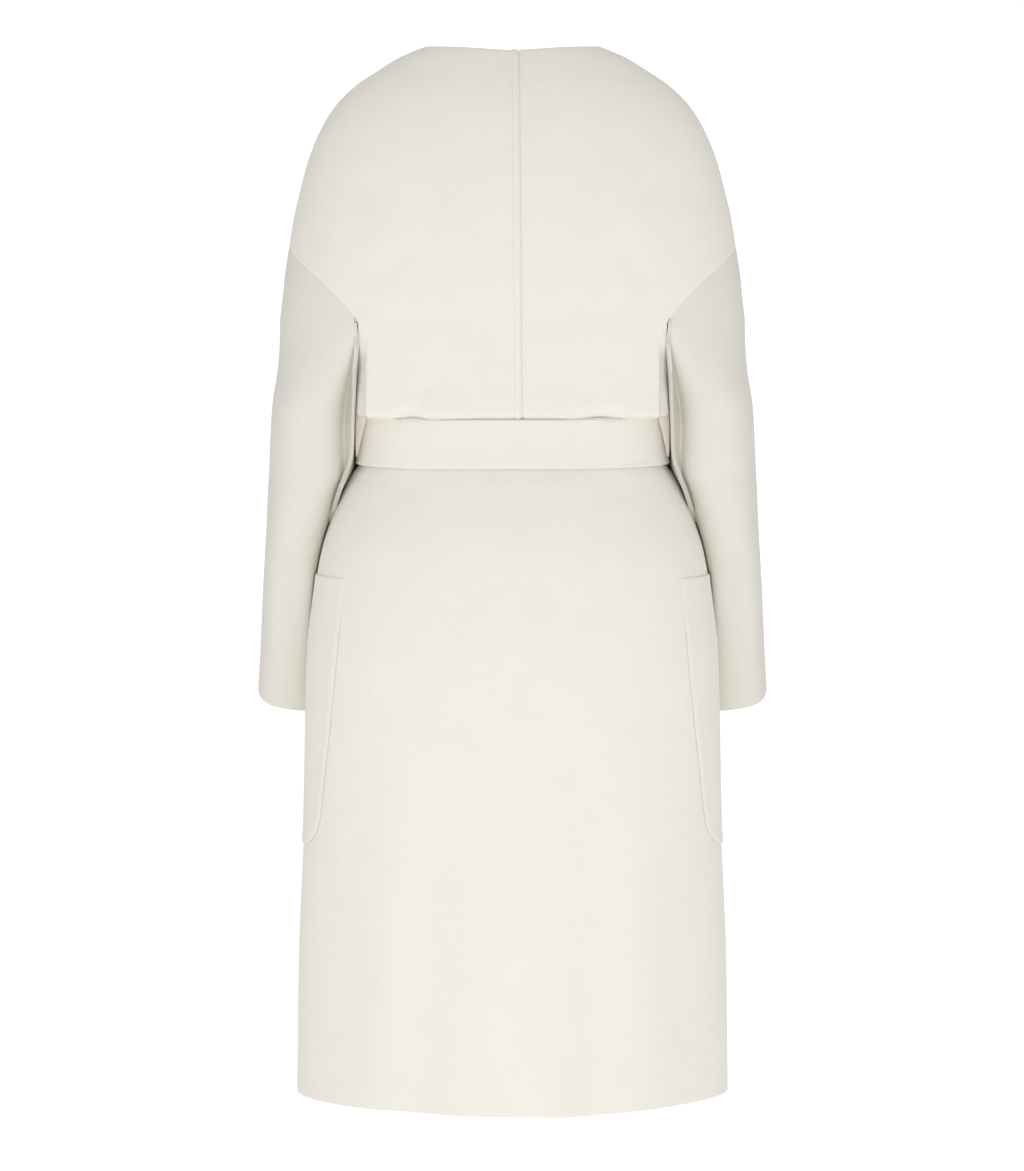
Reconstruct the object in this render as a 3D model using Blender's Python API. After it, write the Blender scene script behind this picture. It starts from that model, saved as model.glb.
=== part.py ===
"""Belted wrap coat of double-faced wool, standing open in the shape it has when worn.

The coat's fronts face -Y and its back +Y, and +X is the wearer's left.  The origin is the
centre of the neck opening, level with the shoulder seams.  Sizes are in millimetres and
angles in degrees; the meshes are made in metres.

Above the underarm the coat is one wide ring round chest and upper arms.  Below it the ring
divides into a body ring and two sleeve rings.  Every cloth piece is a grid of points on those
rings, given a wall inwards.
"""
import math
from collections import namedtuple

import bpy
import bmesh
from mathutils import Vector

MM = 0.001

# Cloth and seams
CLOTH = 2.6             # double-faced wool
SEAM_GAP = 0.3          # clearance between pieces that are sewn together
LAP_STEP = CLOTH + 1.7  # how far the under front lies inside the over front
POCKET_STEP = CLOTH + 1.0   # how far a pocket's face stands out from the cloth under it
FACET_SPARE = 0.05      # added to half a seam's gap, so that flat facets keep the gap too

# Heights
NECK = 0.0
UNDERARM = -284.0
WAIST_SEAM = -412.0
HEM = -1097.0
NECK_DIP = 4.5          # the neckline's middle lies this far below the shoulder seams
NECK_DIP_REACH = 70.0   # and the dip has gone this far down the back

# Belt
BELT_TOP = -388.0
BELT_BOTTOM = -436.0
BELT_THICK = 4.0
BELT_GAP = 1.0
BELT_GRIP = 4.0         # the belt keeps the coat's girth from this far inside its edges

# Seam down the middle of the upper back, a little to the wearer's right
BACK_SEAM_X_NECK = -7.0
BACK_SEAM_X_WAIST = -10.0

Section = namedtuple("Section", "z side back front power front_power middle")

# Rings round chest and upper arms, shoulders to underarm
WIDE_RINGS = [
    #       z      side   back  front power front_power middle
    Section(0,     89.0,  48,   44,   2.2,  2.2,        4),
    Section(-3,    97.5,  52,   48,   2.2,  2.2,        3),
    Section(-12,   118.5, 59,   56,   2.2,  2.2,        2),
    Section(-24,   138.0, 67,   65,   2.2,  2.2,        1),
    Section(-41,   163.5, 77,   75,   2.2,  2.2,        0),
    Section(-62,   184.5, 86,   85,   2.25, 2.25,       0),
    Section(-83,   198.0, 93,   92,   2.3,  2.3,        0),
    Section(-117,  212.5, 101,  102,  2.35, 2.35,       0),
    Section(-148,  221.0, 106,  111,  2.4,  2.4,        0),
    Section(-180,  228.5, 109,  118,  2.5,  2.5,        0),
    Section(-211,  233.5, 110,  123,  2.6,  2.6,        0),
    Section(-243,  238.5, 110,  127,  2.7,  2.65,       0),
    Section(-284,  243.0, 108,  128,  2.8,  2.7,        0),
]

# Rings round the body alone, underarm to hem
BODY_RINGS = [
    #       z      side   back  front power front_power middle
    Section(-284,  160.0, 108,  128,  6.0,  6.0,        0),
    Section(-305,  158.5, 108,  127,  5.0,  4.6,        0),
    Section(-330,  157.5, 107,  126,  4.2,  3.8,        0),
    Section(-358,  158.5, 107,  124,  3.5,  3.2,        0),
    Section(-374,  160.5, 108,  124,  3.0,  2.9,        0),
    Section(-381,  159.0, 107,  122,  2.8,  2.7,        0),
    Section(-387,  151.5, 103,  118,  2.7,  2.6,        0),
    Section(-412,  153.0, 101,  116,  2.6,  2.5,        0),
    Section(-434,  156.5, 103,  117,  2.5,  2.4,        0),
    Section(-442,  163.0, 107,  119,  2.45, 2.3,        1),
    Section(-450,  169.0, 112,  122,  2.4,  2.25,       3),
    Section(-465,  176.5, 118,  126,  2.35, 2.2,        6),
    Section(-500,  191.0, 131,  134,  2.3,  2.1,        14),
    Section(-520,  198.5, 137,  138,  2.25, 2.05,       18),
    Section(-545,  203.5, 142,  141,  2.2,  2.0,        22),
    Section(-580,  208.0, 147,  144,  2.15, 2.0,        25),
    Section(-630,  213.5, 152,  148,  2.1,  2.0,        26),
    Section(-690,  215.5, 156,  152,  2.0,  2.0,        26),
    Section(-740,  216.5, 158,  154,  1.95, 2.0,        25),
    Section(-800,  218.0, 160,  156,  1.9,  1.95,       22),
    Section(-870,  221.5, 163,  159,  1.85, 1.9,        18),
    Section(-950,  225.0, 166,  162,  1.8,  1.85,       14),
    Section(-1097, 227.5, 173,  168,  1.75, 1.8,        8),
]

Limb = namedtuple("Limb", "z inner outer middle depth power lean")

# Rings round one sleeve, from under the arm to the cuff: the forearm leans forward
SLEEVE_RINGS = [
    #    z     inner  outer  middle depth power lean
    Limb(-284, 160.5, 243.0, -6,    97,   3.2,  0),
    Limb(-312, 160.5, 245.5, -4,    86,   2.7,  0),
    Limb(-335, 163.0, 247.0, -3,    80,   2.5,  0),
    Limb(-365, 168.0, 250.5, -3,    76,   2.4,  0),
    Limb(-400, 170.0, 253.0, -5,    73,   2.35, 2),
    Limb(-435, 173.0, 255.0, -11,   71,   2.3,  5),
    Limb(-465, 183.0, 257.0, -18,   69,   2.2,  8),
    Limb(-495, 194.0, 258.5, -27,   67,   2.2,  11),
    Limb(-530, 202.5, 261.0, -40,   65,   2.15, 13),
    Limb(-580, 206.0, 264.5, -56,   63,   2.1,  15),
    Limb(-630, 206.0, 267.5, -69,   62,   2.1,  15),
    Limb(-681, 204.5, 271.0, -83,   60,   2.1,  15),
]

ArmholePoint = namedtuple("ArmholePoint", "z angle")

# The armhole seam on the wide ring: its height at each angle round from the side
ARMHOLE = [
    ArmholePoint(-206, 0.0),
    ArmholePoint(-211, 6.5),
    ArmholePoint(-225, 14.8),
    ArmholePoint(-238, 20.0),
    ArmholePoint(-249, 23.4),
    ArmholePoint(-262, 26.6),
    ArmholePoint(-275, 29.2),
    ArmholePoint(-284, 30.6),
]
FRONT_ARMHOLE_SPREAD = 1.12   # the front armhole curves this much further in
CAP_BLEND = 44.0        # below the underarm the sleeve turns to its own ring over this height

EdgePoint = namedtuple("EdgePoint", "z x")

# The free edge of the over front: neck, across the chest, waist, hem
FRONT_EDGE = [
    EdgePoint(0, -84),
    EdgePoint(-41, -76),
    EdgePoint(-117, -52),
    EdgePoint(-211, -16),
    EdgePoint(-284, 18),
    EdgePoint(-345, 54),
    EdgePoint(-390, 86),
    EdgePoint(-434, 96),
    EdgePoint(-630, 103),
    EdgePoint(-1097, 112),
]

# Rows of the grids
SHOULDER_ROWS = [NECK, -3, -10, -20, -33, -50, -72, -100, -135, -172]
ARMHOLE_ROWS = [point.z for point in ARMHOLE]
BODICE_ROWS = [-297, -318, -345, -368, -379, -387, WAIST_SEAM]
SKIRT_ROWS = [WAIST_SEAM, -434, -442, -453, -475, -500, -530, -575, -635, -705, -790, -880,
              -980, HEM]

# Soft folds of the skirt: troughs that deepen towards the hem
FOLD_GROWTH = 1.4       # a trough has its full depth this much before the hem
Fold = namedtuple("Fold", "top_x hem_x top_z depth width half")
SKIRT_FOLDS = [
    #    top_x  hem_x  top_z  depth width half
    Fold(64,    97,    -640,  5.0,  30,   "back"),
    Fold(-66,   -90,   -640,  5.0,  28,   "back"),
    Fold(168,   186,   -760,  3.0,  26,   "back"),
    Fold(-170,  -186,  -740,  3.0,  26,   "back"),
    Fold(140,   158,   -620,  4.0,  30,   "front"),
    Fold(-144,  -160,  -650,  4.0,  30,   "front"),
]

# Small hollows pressed into the back where the belt gathers it
Gather = namedtuple("Gather", "x z width height depth")
GATHERS = [
    #      x    z     width height depth
    Gather(106, -384, 16,   9,     3.5),
    Gather(-94, -384, 19,   9,     3.2),
]

# The fold that hangs from each underarm down the back of the sleeve: a ridge and a valley
RIDGE_ANGLE = 128.0
RIDGE_SPREAD = 9.0
RIDGE_RISE = 3.0
VALLEY_ANGLE = 110.0
VALLEY_SPREAD = 10.0
VALLEY_DEPTH = 5.0
UNDERARM_FOLD_TOP = UNDERARM - 6
UNDERARM_FOLD_RISE = 25.0    # full depth this far below its top
UNDERARM_FOLD_END = -480.0
UNDERARM_FOLD_FADE = 90.0    # fading over this height above its end
FRONT_FOLD_SHARE = 0.5       # the same fold in front is half as deep

CREAM = (0.86, 0.82, 0.74)
CREAM_SLEEVE = (0.80, 0.77, 0.69)


# Fineness of the work on rings
HALVINGS = 40           # steps of a search by halving
RING_STEPS = 80         # chords that measure a stretch of a ring
WALK_STEP = 0.5         # degrees
ANGLE_STEP = 0.2        # degrees to each side of a point, for its normal
HEIGHT_STEP = 0.4       # and up and down


# ---------------------------------------------------------------- tables and rings

def clamp(value):
    """Value held between 0 and 1."""
    return min(max(value, 0.0), 1.0)


def ease(value):
    """Smooth step from 0 to 1."""
    value = clamp(value)
    return value * value * (3 - 2 * value)


def row_slopes(rows, column):
    """Slope of one column at every row, flat where the column turns, so nothing overshoots."""
    heights = [row[0] for row in rows]
    values = [row[column] for row in rows]
    chords = [(values[i + 1] - values[i]) / (heights[i + 1] - heights[i])
              for i in range(len(rows) - 1)]
    slopes = [chords[0]]
    for before, after in zip(chords, chords[1:]):
        turning = before * after <= 0
        slopes.append(0.0 if turning else 2 * before * after / (before + after))
    return slopes + [chords[-1]]


def row_at(rows, z):
    """The table's row at any height, on a cubic through its rows."""
    z = max(min(z, rows[0][0]), rows[-1][0])
    index = 0
    while index < len(rows) - 2 and z < rows[index + 1][0]:
        index += 1
    first, second = rows[index], rows[index + 1]
    step = second[0] - first[0]
    t = (z - first[0]) / step
    values = [z]
    for column in range(1, len(first)):
        slopes = row_slopes(rows[max(index - 1, 0):index + 3], column)
        offset = min(index, 1)
        start, end = slopes[offset] * step, slopes[offset + 1] * step
        values.append((2 * t**3 - 3 * t**2 + 1) * first[column] + (t**3 - 2 * t**2 + t) * start
                      + (3 * t**2 - 2 * t**3) * second[column] + (t**3 - t**2) * end)
    return type(first)(*values)


def ring_point(section, angle):
    """Point of a ring at a polar angle: 90 is the middle back, 0 the left side, -90 the front."""
    cosine, sine = math.cos(math.radians(angle)), math.sin(math.radians(angle))
    at_back = sine >= 0
    depth = section.back - section.middle if at_back else section.front + section.middle
    power = section.power if at_back else section.front_power
    reach = (abs(cosine / section.side)**power + abs(sine / depth)**power) ** (-1 / power)
    return reach * cosine, section.middle + reach * sine


def angle_at_x(section, x, half):
    """Polar angle at which the back or front half of a ring is x from the middle."""
    low, high = (0.0, 180.0) if half == "back" else (0.0, -180.0)
    for _ in range(HALVINGS):
        middle = (low + high) / 2
        if ring_point(section, middle)[0] > x:
            low = middle
        else:
            high = middle
    return (low + high) / 2


def spread(section, start, end, cells, point=ring_point):
    """Angles from start to end whose points are evenly spaced along the ring."""
    angles = [start + (end - start) * i / RING_STEPS for i in range(RING_STEPS + 1)]
    points = [Vector(point(section, angle)) for angle in angles]
    lengths = [0.0]
    for before, after in zip(points, points[1:]):
        lengths.append(lengths[-1] + (after - before).length)
    result = []
    index = 0
    for cell in range(cells + 1):
        wanted = lengths[-1] * cell / cells
        while index < RING_STEPS - 1 and lengths[index + 1] < wanted:
            index += 1
        share = (wanted - lengths[index]) / max(lengths[index + 1] - lengths[index], 1e-9)
        result.append(angles[index] + (angles[index + 1] - angles[index]) * min(share, 1.0))
    return result


def walk(section, angle, distance):
    """Polar angle reached by going a distance forwards along a ring."""
    here = Vector(ring_point(section, angle))
    while True:
        there = Vector(ring_point(section, angle - WALK_STEP))
        length = (there - here).length
        if length >= distance:
            return angle - WALK_STEP * distance / length
        distance -= length
        angle -= WALK_STEP
        here = there


# ---------------------------------------------------------------- the coat's surface

def skirt_fold(z, x, half):
    """How far the skirt's folds draw the cloth in at a height and a place across."""
    depth = 0.0
    for fold in SKIRT_FOLDS:
        if fold.half == half and z < fold.top_z:
            run = (z - fold.top_z) / (HEM - fold.top_z)
            centre = fold.top_x + (fold.hem_x - fold.top_x) * run
            bell = math.exp(-((x - centre) / fold.width)**2)
            depth += fold.depth * ease(run * FOLD_GROWTH) * bell
    return depth


def gathered(z, x):
    """How far the belt's gathers press in the back above the belt; it is flat under the belt."""
    if z < BELT_TOP:
        return 0.0
    return sum(gather.depth * math.exp(-((x - gather.x) / gather.width)**2
                                       - ((z - gather.z) / gather.height)**2)
               for gather in GATHERS)


def wide_point(z, angle):
    """Point on the wide ring round chest and upper arms."""
    x, y = ring_point(row_at(WIDE_RINGS, z), angle)
    rise = math.sin(math.radians(angle)) ** 2 if angle > 0 else 0.0
    dip = NECK_DIP * rise * (1 - ease((NECK - z) / NECK_DIP_REACH))
    return Vector((x, y, z - dip))


def body_point(z, angle, out=0.0):
    """Point on the body ring, moved out from the cloth by out."""
    section = row_at(BODY_RINGS, z)
    x, y = ring_point(section, angle)
    half = "back" if angle > 0 else "front"
    depth = section.back - section.middle if angle > 0 else section.front + section.middle
    power = section.power if angle > 0 else section.front_power
    across = math.copysign(abs(x / section.side)**(power - 1) / section.side, x)
    rearward = math.copysign(abs((y - section.middle) / depth)**(power - 1) / depth,
                             y - section.middle)
    drawn_in = skirt_fold(z, x, half)
    if half == "back":
        drawn_in += gathered(z, x)
    outward = Vector((across, rearward)).normalized() * (out - drawn_in)
    return Vector((x + outward.x, y + outward.y, z))


def normal_of(point, z, angle):
    """Outward normal of a surface given by height and angle."""
    across = point(z, angle - ANGLE_STEP) - point(z, angle + ANGLE_STEP)
    down = point(z - HEIGHT_STEP, angle) - point(z + HEIGHT_STEP, angle)
    return across.cross(down).normalized()


def on_surface(point, z, angle):
    """A grid corner: the point on the surface and the normal there."""
    return point(z, angle), normal_of(point, z, angle)


def mitre(corner, other_normal):
    """A grid corner where two walls meet at an edge: its offset clears both of them."""
    point, normal = corner
    return point, (normal + other_normal) / (1 + normal.dot(other_normal))


def armhole_angle(z, half):
    """Polar angle of the armhole seam at a row of the armhole."""
    angle = next(point.angle for point in ARMHOLE if point.z == z)
    return angle if half == "back" else -angle * FRONT_ARMHOLE_SPREAD


def underarm_corners():
    """The two low ends of the armhole seam, with the underarm running straight between them."""
    return (wide_point(UNDERARM, armhole_angle(UNDERARM, "back")),
            wide_point(UNDERARM, armhole_angle(UNDERARM, "front")))


def gap_angle(z, angle, rings=WIDE_RINGS):
    """Angle that half the seam gap takes up on a ring."""
    section = row_at(rings, z)
    chord = Vector(ring_point(section, angle + ANGLE_STEP)) - Vector(ring_point(section, angle))
    return ANGLE_STEP * (SEAM_GAP / 2 + FACET_SPARE) / chord.length


def front_edge_x(z):
    """Where the over front's free edge is at a height, on the coat as mirrored."""
    return row_at(FRONT_EDGE, z).x


# ---------------------------------------------------------------- solids

def remove_everything():
    for item in list(bpy.data.objects):
        bpy.data.objects.remove(item, do_unlink=True)


def wool(name, colour):
    material = bpy.data.materials.new(name)
    material.use_nodes = True
    shader = material.node_tree.nodes["Principled BSDF"]
    shader.inputs["Base Color"].default_value = (*colour, 1.0)
    shader.inputs["Roughness"].default_value = 0.9
    shader.inputs["Metallic"].default_value = 0.0
    return material


def add_solid(name, points, faces, colour, mirrored=False):
    """A closed mesh object from points in millimetres."""
    flip = -1 if mirrored else 1
    shape = bmesh.new()
    corners = [shape.verts.new((flip * p.x * MM, p.y * MM, p.z * MM)) for p in points]
    for face in faces:
        shape.faces.new([corners[i] for i in face])
    bmesh.ops.recalc_face_normals(shape, faces=shape.faces)
    mesh = bpy.data.meshes.new(name)
    shape.to_mesh(mesh)
    shape.free()
    mesh.shade_smooth()
    mesh.set_sharp_from_angle(angle=math.radians(50))
    mesh.materials.append(wool(name + "_wool", colour))
    solid = bpy.data.objects.new(name, mesh)
    bpy.context.scene.collection.objects.link(solid)
    return solid


def cloth_wall(name, grid, colour, mirrored=False, around=False, thick=CLOTH):
    """A cloth piece: a grid of corners on the outside, a wall inwards and closed edges.

    A corner is a point and a normal, or None where the piece has none.
    """
    index = {}
    outer, inner = [], []
    for r, row in enumerate(grid):
        for c, corner in enumerate(row):
            if corner is not None:
                index[r, c] = len(outer)
                outer.append(corner[0])
                inner.append(corner[0] - corner[1] * thick)
    cells = []
    for r in range(len(grid) - 1):
        columns = len(grid[r])
        for c in range(columns if around else columns - 1):
            following = (c + 1) % columns
            keys = [(r, c), (r, following), (r + 1, following), (r + 1, c)]
            if all(key in index for key in keys):
                cells.append([index[key] for key in keys])
    edges = {(cell[i], cell[(i + 1) % 4]) for cell in cells for i in range(4)}
    shift = len(outer)
    faces = list(cells)
    faces += [[i + shift for i in reversed(cell)] for cell in cells]
    faces += [[b, a, a + shift, b + shift] for a, b in edges if (b, a) not in edges]
    return add_solid(name, outer + inner, faces, colour, mirrored)


# ---------------------------------------------------------------- upper back

BACK_CELLS = 10
SIDE_CELLS = 4
FOLD_EDGE = 0.945   # the back turns into the side at this share of the half-width


def back_seam_x(z):
    return BACK_SEAM_X_NECK + (BACK_SEAM_X_WAIST - BACK_SEAM_X_NECK) * z / BELT_TOP


def side_corners(z, corner, half, lift=0.0):
    """Grid corners from the edge of the back or front round to the side seam."""
    if z > UNDERARM:
        return [None] * SIDE_CELLS
    seam_gap = SEAM_GAP / 2 if half == "back" else -SEAM_GAP / 2
    if z == UNDERARM:
        edge = corner[0]
        back_corner, front_corner = underarm_corners()
        share = (back_corner.y - seam_gap) / (back_corner.y - front_corner.y)
        side = back_corner.lerp(front_corner, share)
        across = Vector((1, 0, 0))
        return [(edge.lerp(side, i / SIDE_CELLS), across) for i in range(1, SIDE_CELLS + 1)]
    section = row_at(BODY_RINGS, z)
    start = angle_at_x(section, FOLD_EDGE * section.side, half)
    end = math.copysign(gap_angle(z, 0.0, BODY_RINGS), seam_gap)
    angles = spread(section, start, end, SIDE_CELLS)[1:]
    return [on_surface(body_point, z + lift, angle) for angle in angles]


def upper_back(name, mirrored):
    """Half of the upper back, from its middle seam to shoulder, armhole and side seams."""
    seam_side = -1 if mirrored else 1
    grid = []
    for z in SHOULDER_ROWS + ARMHOLE_ROWS + BODICE_ROWS:
        wide = z >= UNDERARM
        section = row_at(WIDE_RINGS if wide else BODY_RINGS, z)
        point = wide_point if wide else body_point
        bottom_gap = SEAM_GAP / 2 if z == WAIST_SEAM else 0.0
        start = angle_at_x(section, seam_side * back_seam_x(z) + SEAM_GAP / 2, "back")
        if z in ARMHOLE_ROWS:
            angle = armhole_angle(z, "back")
            end = angle + gap_angle(z, angle)
        elif wide:
            end = gap_angle(z, 0.0)
        else:
            end = angle_at_x(section, FOLD_EDGE * section.side, "back")
        row = [on_surface(point, z + bottom_gap, angle)
               for angle in spread(section, start, end, BACK_CELLS)]
        grid.append(row + side_corners(z, row[-1], "back", bottom_gap))
    return cloth_wall(name, grid, CREAM, mirrored)


# ---------------------------------------------------------------- fronts

FRONT_CELLS = 10
SPACING_CHANGE = 220.0   # below the waist the columns even out over this height
LAP_START = 42.0         # the under front starts to step in this far beyond the over front
LAP_BLEND = 34.0         # and is fully inside this much further on


def tuck(row, edge_x, over):
    """Moves the under front inside the over front where the two overlap."""
    if over:
        return row
    tucked = []
    for corner in row:
        if corner is not None:
            point, normal = corner
            share = ease((edge_x + LAP_START - point.x) / LAP_BLEND)
            corner = (point - normal * LAP_STEP * share, normal)
        tucked.append(corner)
    return tucked


def front_row(z, over, lift=0.0):
    """One row of a front, drawn on the wearer's left, from its free edge to the side seam."""
    edge_x = front_edge_x(z)
    wide = z >= UNDERARM
    section = row_at(WIDE_RINGS if wide else BODY_RINGS, z)
    point = wide_point if wide else body_point
    free_end = angle_at_x(section, -edge_x, "front")
    if z in ARMHOLE_ROWS:
        angle = armhole_angle(z, "front")
        end = angle - gap_angle(z, angle)
    elif wide:
        end = -gap_angle(z, 0.0)
    else:
        end = angle_at_x(section, FOLD_EDGE * section.side, "front")
    angles = spread(section, free_end, end, FRONT_CELLS)
    if z < WAIST_SEAM:
        side_seam = -gap_angle(z, 0.0, BODY_RINGS)
        angles += spread(section, end, side_seam, SIDE_CELLS)[1:]
        even = spread(section, free_end, side_seam, FRONT_CELLS + SIDE_CELLS)
        share = ease((WAIST_SEAM - z) / SPACING_CHANGE)
        row = [on_surface(point, z, angle + (level - angle) * share)
               for angle, level in zip(angles, even)]
        return tuck(row, edge_x, over)
    row = [on_surface(point, z + lift, angle) for angle in angles]
    return tuck(row + side_corners(z, row[-1], "front", lift), edge_x, over)


def upper_front(name, over):
    """A front above the waist seam.  The over front is the wearer's right one."""
    grid = [front_row(z, over) for z in SHOULDER_ROWS + ARMHOLE_ROWS + BODICE_ROWS[:-1]]
    grid.append(front_row(WAIST_SEAM, over, SEAM_GAP / 2))
    return cloth_wall(name, grid, CREAM, mirrored=over)


def skirt_front(name, over):
    """A front from the waist seam to the hem."""
    grid = [front_row(WAIST_SEAM, over, -SEAM_GAP / 2)]
    grid += [front_row(z, over) for z in SKIRT_ROWS[1:]]
    return cloth_wall(name, grid, CREAM, mirrored=over)


# ---------------------------------------------------------------- skirt back

SKIRT_CELLS = 26


def skirt_back(name):
    """The skirt's back, one piece from side seam to side seam."""
    grid = []
    for z in SKIRT_ROWS:
        section = row_at(BODY_RINGS, z)
        gap = gap_angle(z, 0.0, BODY_RINGS)
        top_gap = SEAM_GAP / 2 if z == WAIST_SEAM else 0.0
        angles = spread(section, 180.0 - gap, gap, SKIRT_CELLS)
        grid.append([on_surface(body_point, z - top_gap, angle) for angle in angles])
    return cloth_wall(name, grid, CREAM)


# ---------------------------------------------------------------- sleeves

INNER_CELLS = 6
CAP_ROWS = 4
CAP_END = -312
SLEEVE_ROWS = [-335, -362, -392, -422, -450, -478, -508, -545, -590, -637, -681]
SLEEVE_STEP = 2.0        # up and down from a point, for its normal
ELBOW = -400.0
CUFF_RISE = 0.13         # the cuff climbs this steeply towards its outer side


def sleeve_fold(z, angle):
    """The ridge under the arm and the valley beside it, both fading by the elbow."""
    fade = (ease((UNDERARM_FOLD_TOP - z) / UNDERARM_FOLD_RISE)
            * ease((z - UNDERARM_FOLD_END) / UNDERARM_FOLD_FADE))
    turned = (angle + 180) % 360 - 180
    if turned < 0:
        fade *= FRONT_FOLD_SHARE
    ridge = RIDGE_RISE * math.exp(-((abs(turned) - RIDGE_ANGLE) / RIDGE_SPREAD)**2)
    valley = VALLEY_DEPTH * math.exp(-((abs(turned) - VALLEY_ANGLE) / VALLEY_SPREAD)**2)
    return fade * (ridge - valley)


def limb_point(limb, angle):
    """Point of a sleeve ring at a polar angle about its own middle."""
    half_width = (limb.outer - limb.inner) / 2
    cosine, sine = math.cos(math.radians(angle)), math.sin(math.radians(angle))
    reach = (abs(cosine / half_width)**limb.power
             + abs(sine / limb.depth)**limb.power) ** (-1 / limb.power)
    reach += sleeve_fold(limb.z, angle)
    return (limb.outer + limb.inner) / 2 + reach * cosine, limb.middle + reach * sine


def sleeve_columns():
    """Armhole point and angle for each column of a sleeve: outside first, then the inside."""
    back = [(point.z, armhole_angle(point.z, "back")) for point in reversed(ARMHOLE)]
    front_side = [(point.z, armhole_angle(point.z, "front")) for point in ARMHOLE[1:]]
    return back + front_side


def sleeve_point(column, z, columns):
    """Point of a sleeve column at a height: on the wide ring first, then on its own ring."""
    outside = len(columns)
    limb = row_at(SLEEVE_RINGS, min(z, UNDERARM))
    if column < outside:
        top_z, top_angle = columns[column]
        drop = clamp((top_z - z) / max(top_z - UNDERARM, 1.0))
        low_angle = columns[0][1] + (columns[-1][1] - columns[0][1]) * column / (outside - 1)
        if z > UNDERARM:
            return wide_point(z, top_angle + (low_angle - top_angle) * drop)
        start = wide_point(UNDERARM, low_angle)
        limb_angle = SLEEVE_OUTSIDE[column]
    else:
        back_corner, front_corner = underarm_corners()
        share = (column - outside + 1) / INNER_CELLS
        start = front_corner.lerp(back_corner, share)
        limb_angle = SLEEVE_INSIDE[column - outside + 1]
    x, y = limb_point(limb, limb_angle)
    lean = math.tan(math.radians(limb.lean))
    rise = CUFF_RISE * limb.lean / SLEEVE_RINGS[-1].lean
    own = Vector((x, y, z - (y - limb.middle) * lean
                  + (x - (limb.outer + limb.inner) / 2) * rise))
    start = Vector((start.x, start.y, z))
    return start.lerp(own, ease((UNDERARM - z) / CAP_BLEND))


def sleeve_normal(column, z, columns):
    """Outward normal of the sleeve, from its neighbours round and along it."""
    total = len(columns) + INNER_CELLS - 1
    before = sleeve_point((column - 1) % total, z, columns)
    after = sleeve_point((column + 1) % total, z, columns)
    down = (sleeve_point(column, z - SLEEVE_STEP, columns)
            - sleeve_point(column, z + SLEEVE_STEP, columns))
    return (after - before).cross(down).normalized()


# Angles of the sleeve's columns on its own rings: down the outside, then along the inside
MIDDLE_LIMB = row_at(SLEEVE_RINGS, ELBOW)
SLEEVE_OUTSIDE = spread(MIDDLE_LIMB, RIDGE_ANGLE, -RIDGE_ANGLE, 2 * len(ARMHOLE) - 2, limb_point)
SLEEVE_INSIDE = spread(MIDDLE_LIMB, -RIDGE_ANGLE, RIDGE_ANGLE - 360, INNER_CELLS, limb_point)


def cap_corner(column, z, columns, at_seam):
    """A grid corner in the sleeve's cap; the first row keeps clear of the armhole seam."""
    outside = column < len(columns)
    if not at_seam:
        return sleeve_point(column, z, columns), sleeve_normal(column, z, columns)
    if not outside:
        point = sleeve_point(column, z, columns) + Vector((SEAM_GAP * 2, 0, -SEAM_GAP))
        return point, Vector((-1, 0, 0))
    angle = columns[column][1]
    point = wide_point(z, angle)
    normal = normal_of(wide_point, z, angle)
    clear = gap_angle(z, angle) * (angle > 0) - gap_angle(z, angle) * (angle < 0)
    moved = wide_point(z, angle - clear) + Vector((0, 0, -SEAM_GAP))
    if column in (0, len(columns) - 1):
        return mitre((moved + Vector((SEAM_GAP, 0, 0)), normal), Vector((-1, 0, 0)))
    return moved, normal


def sleeve(name, mirrored):
    """A sleeve with its cap on the wide ring and its cuff open."""
    columns = sleeve_columns()
    total = len(columns) + INNER_CELLS - 1
    grid = []
    for step in range(CAP_ROWS + 1):
        row = []
        for column in range(total):
            top = columns[column][0] if column < len(columns) else UNDERARM
            z = top + (CAP_END - top) * step / CAP_ROWS
            row.append(cap_corner(column, z, columns, at_seam=step == 0))
        grid.append(row)
    for z in SLEEVE_ROWS:
        grid.append([(sleeve_point(column, z, columns), sleeve_normal(column, z, columns))
                     for column in range(total)])
    return cloth_wall(name, grid, CREAM_SLEEVE, mirrored, around=True)


# ---------------------------------------------------------------- pockets

POCKET_TOP = -548.0
POCKET_BOTTOM = -832.0
POCKET_WIDTH = 196.0
POCKET_CORNER = 34.0
POCKET_CELLS = 9
POCKET_BACK_X_TOP = 174.0
POCKET_BACK_X_BOTTOM = 203.0
POCKET_BACK_BEND = 1.2    # its back edge turns away slowly at first
POCKET_ROWS = [POCKET_TOP, -590, -635, -680, -725, -768, -798, -813, -824, -830,
               POCKET_BOTTOM]


def pocket_corner(z, angle):
    def raised(height, direction):
        return body_point(height, direction, POCKET_STEP)
    return raised(z, angle), normal_of(raised, z, angle)


def pocket(name, mirrored):
    """A patch pocket over the side of the skirt, its lower corners rounded."""
    grid = []
    for z in POCKET_ROWS:
        section = row_at(BODY_RINGS, z)
        run = (POCKET_TOP - z) / (POCKET_TOP - POCKET_BOTTOM)
        back_x = (POCKET_BACK_X_TOP
                  + (POCKET_BACK_X_BOTTOM - POCKET_BACK_X_TOP) * run**POCKET_BACK_BEND)
        short = max(POCKET_CORNER - (z - POCKET_BOTTOM), 0.0)
        inset = POCKET_CORNER - math.sqrt(POCKET_CORNER**2 - short**2)
        start = walk(section, angle_at_x(section, back_x, "back"), inset)
        length = POCKET_WIDTH - 2 * inset
        row = []
        for cell in range(POCKET_CELLS + 1):
            angle = walk(section, start, length * cell / POCKET_CELLS)
            row.append(pocket_corner(z, angle))
        grid.append(row)
    return cloth_wall(name, grid, CREAM, mirrored)


# ---------------------------------------------------------------- belt

BELT_CELLS = 48
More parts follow.
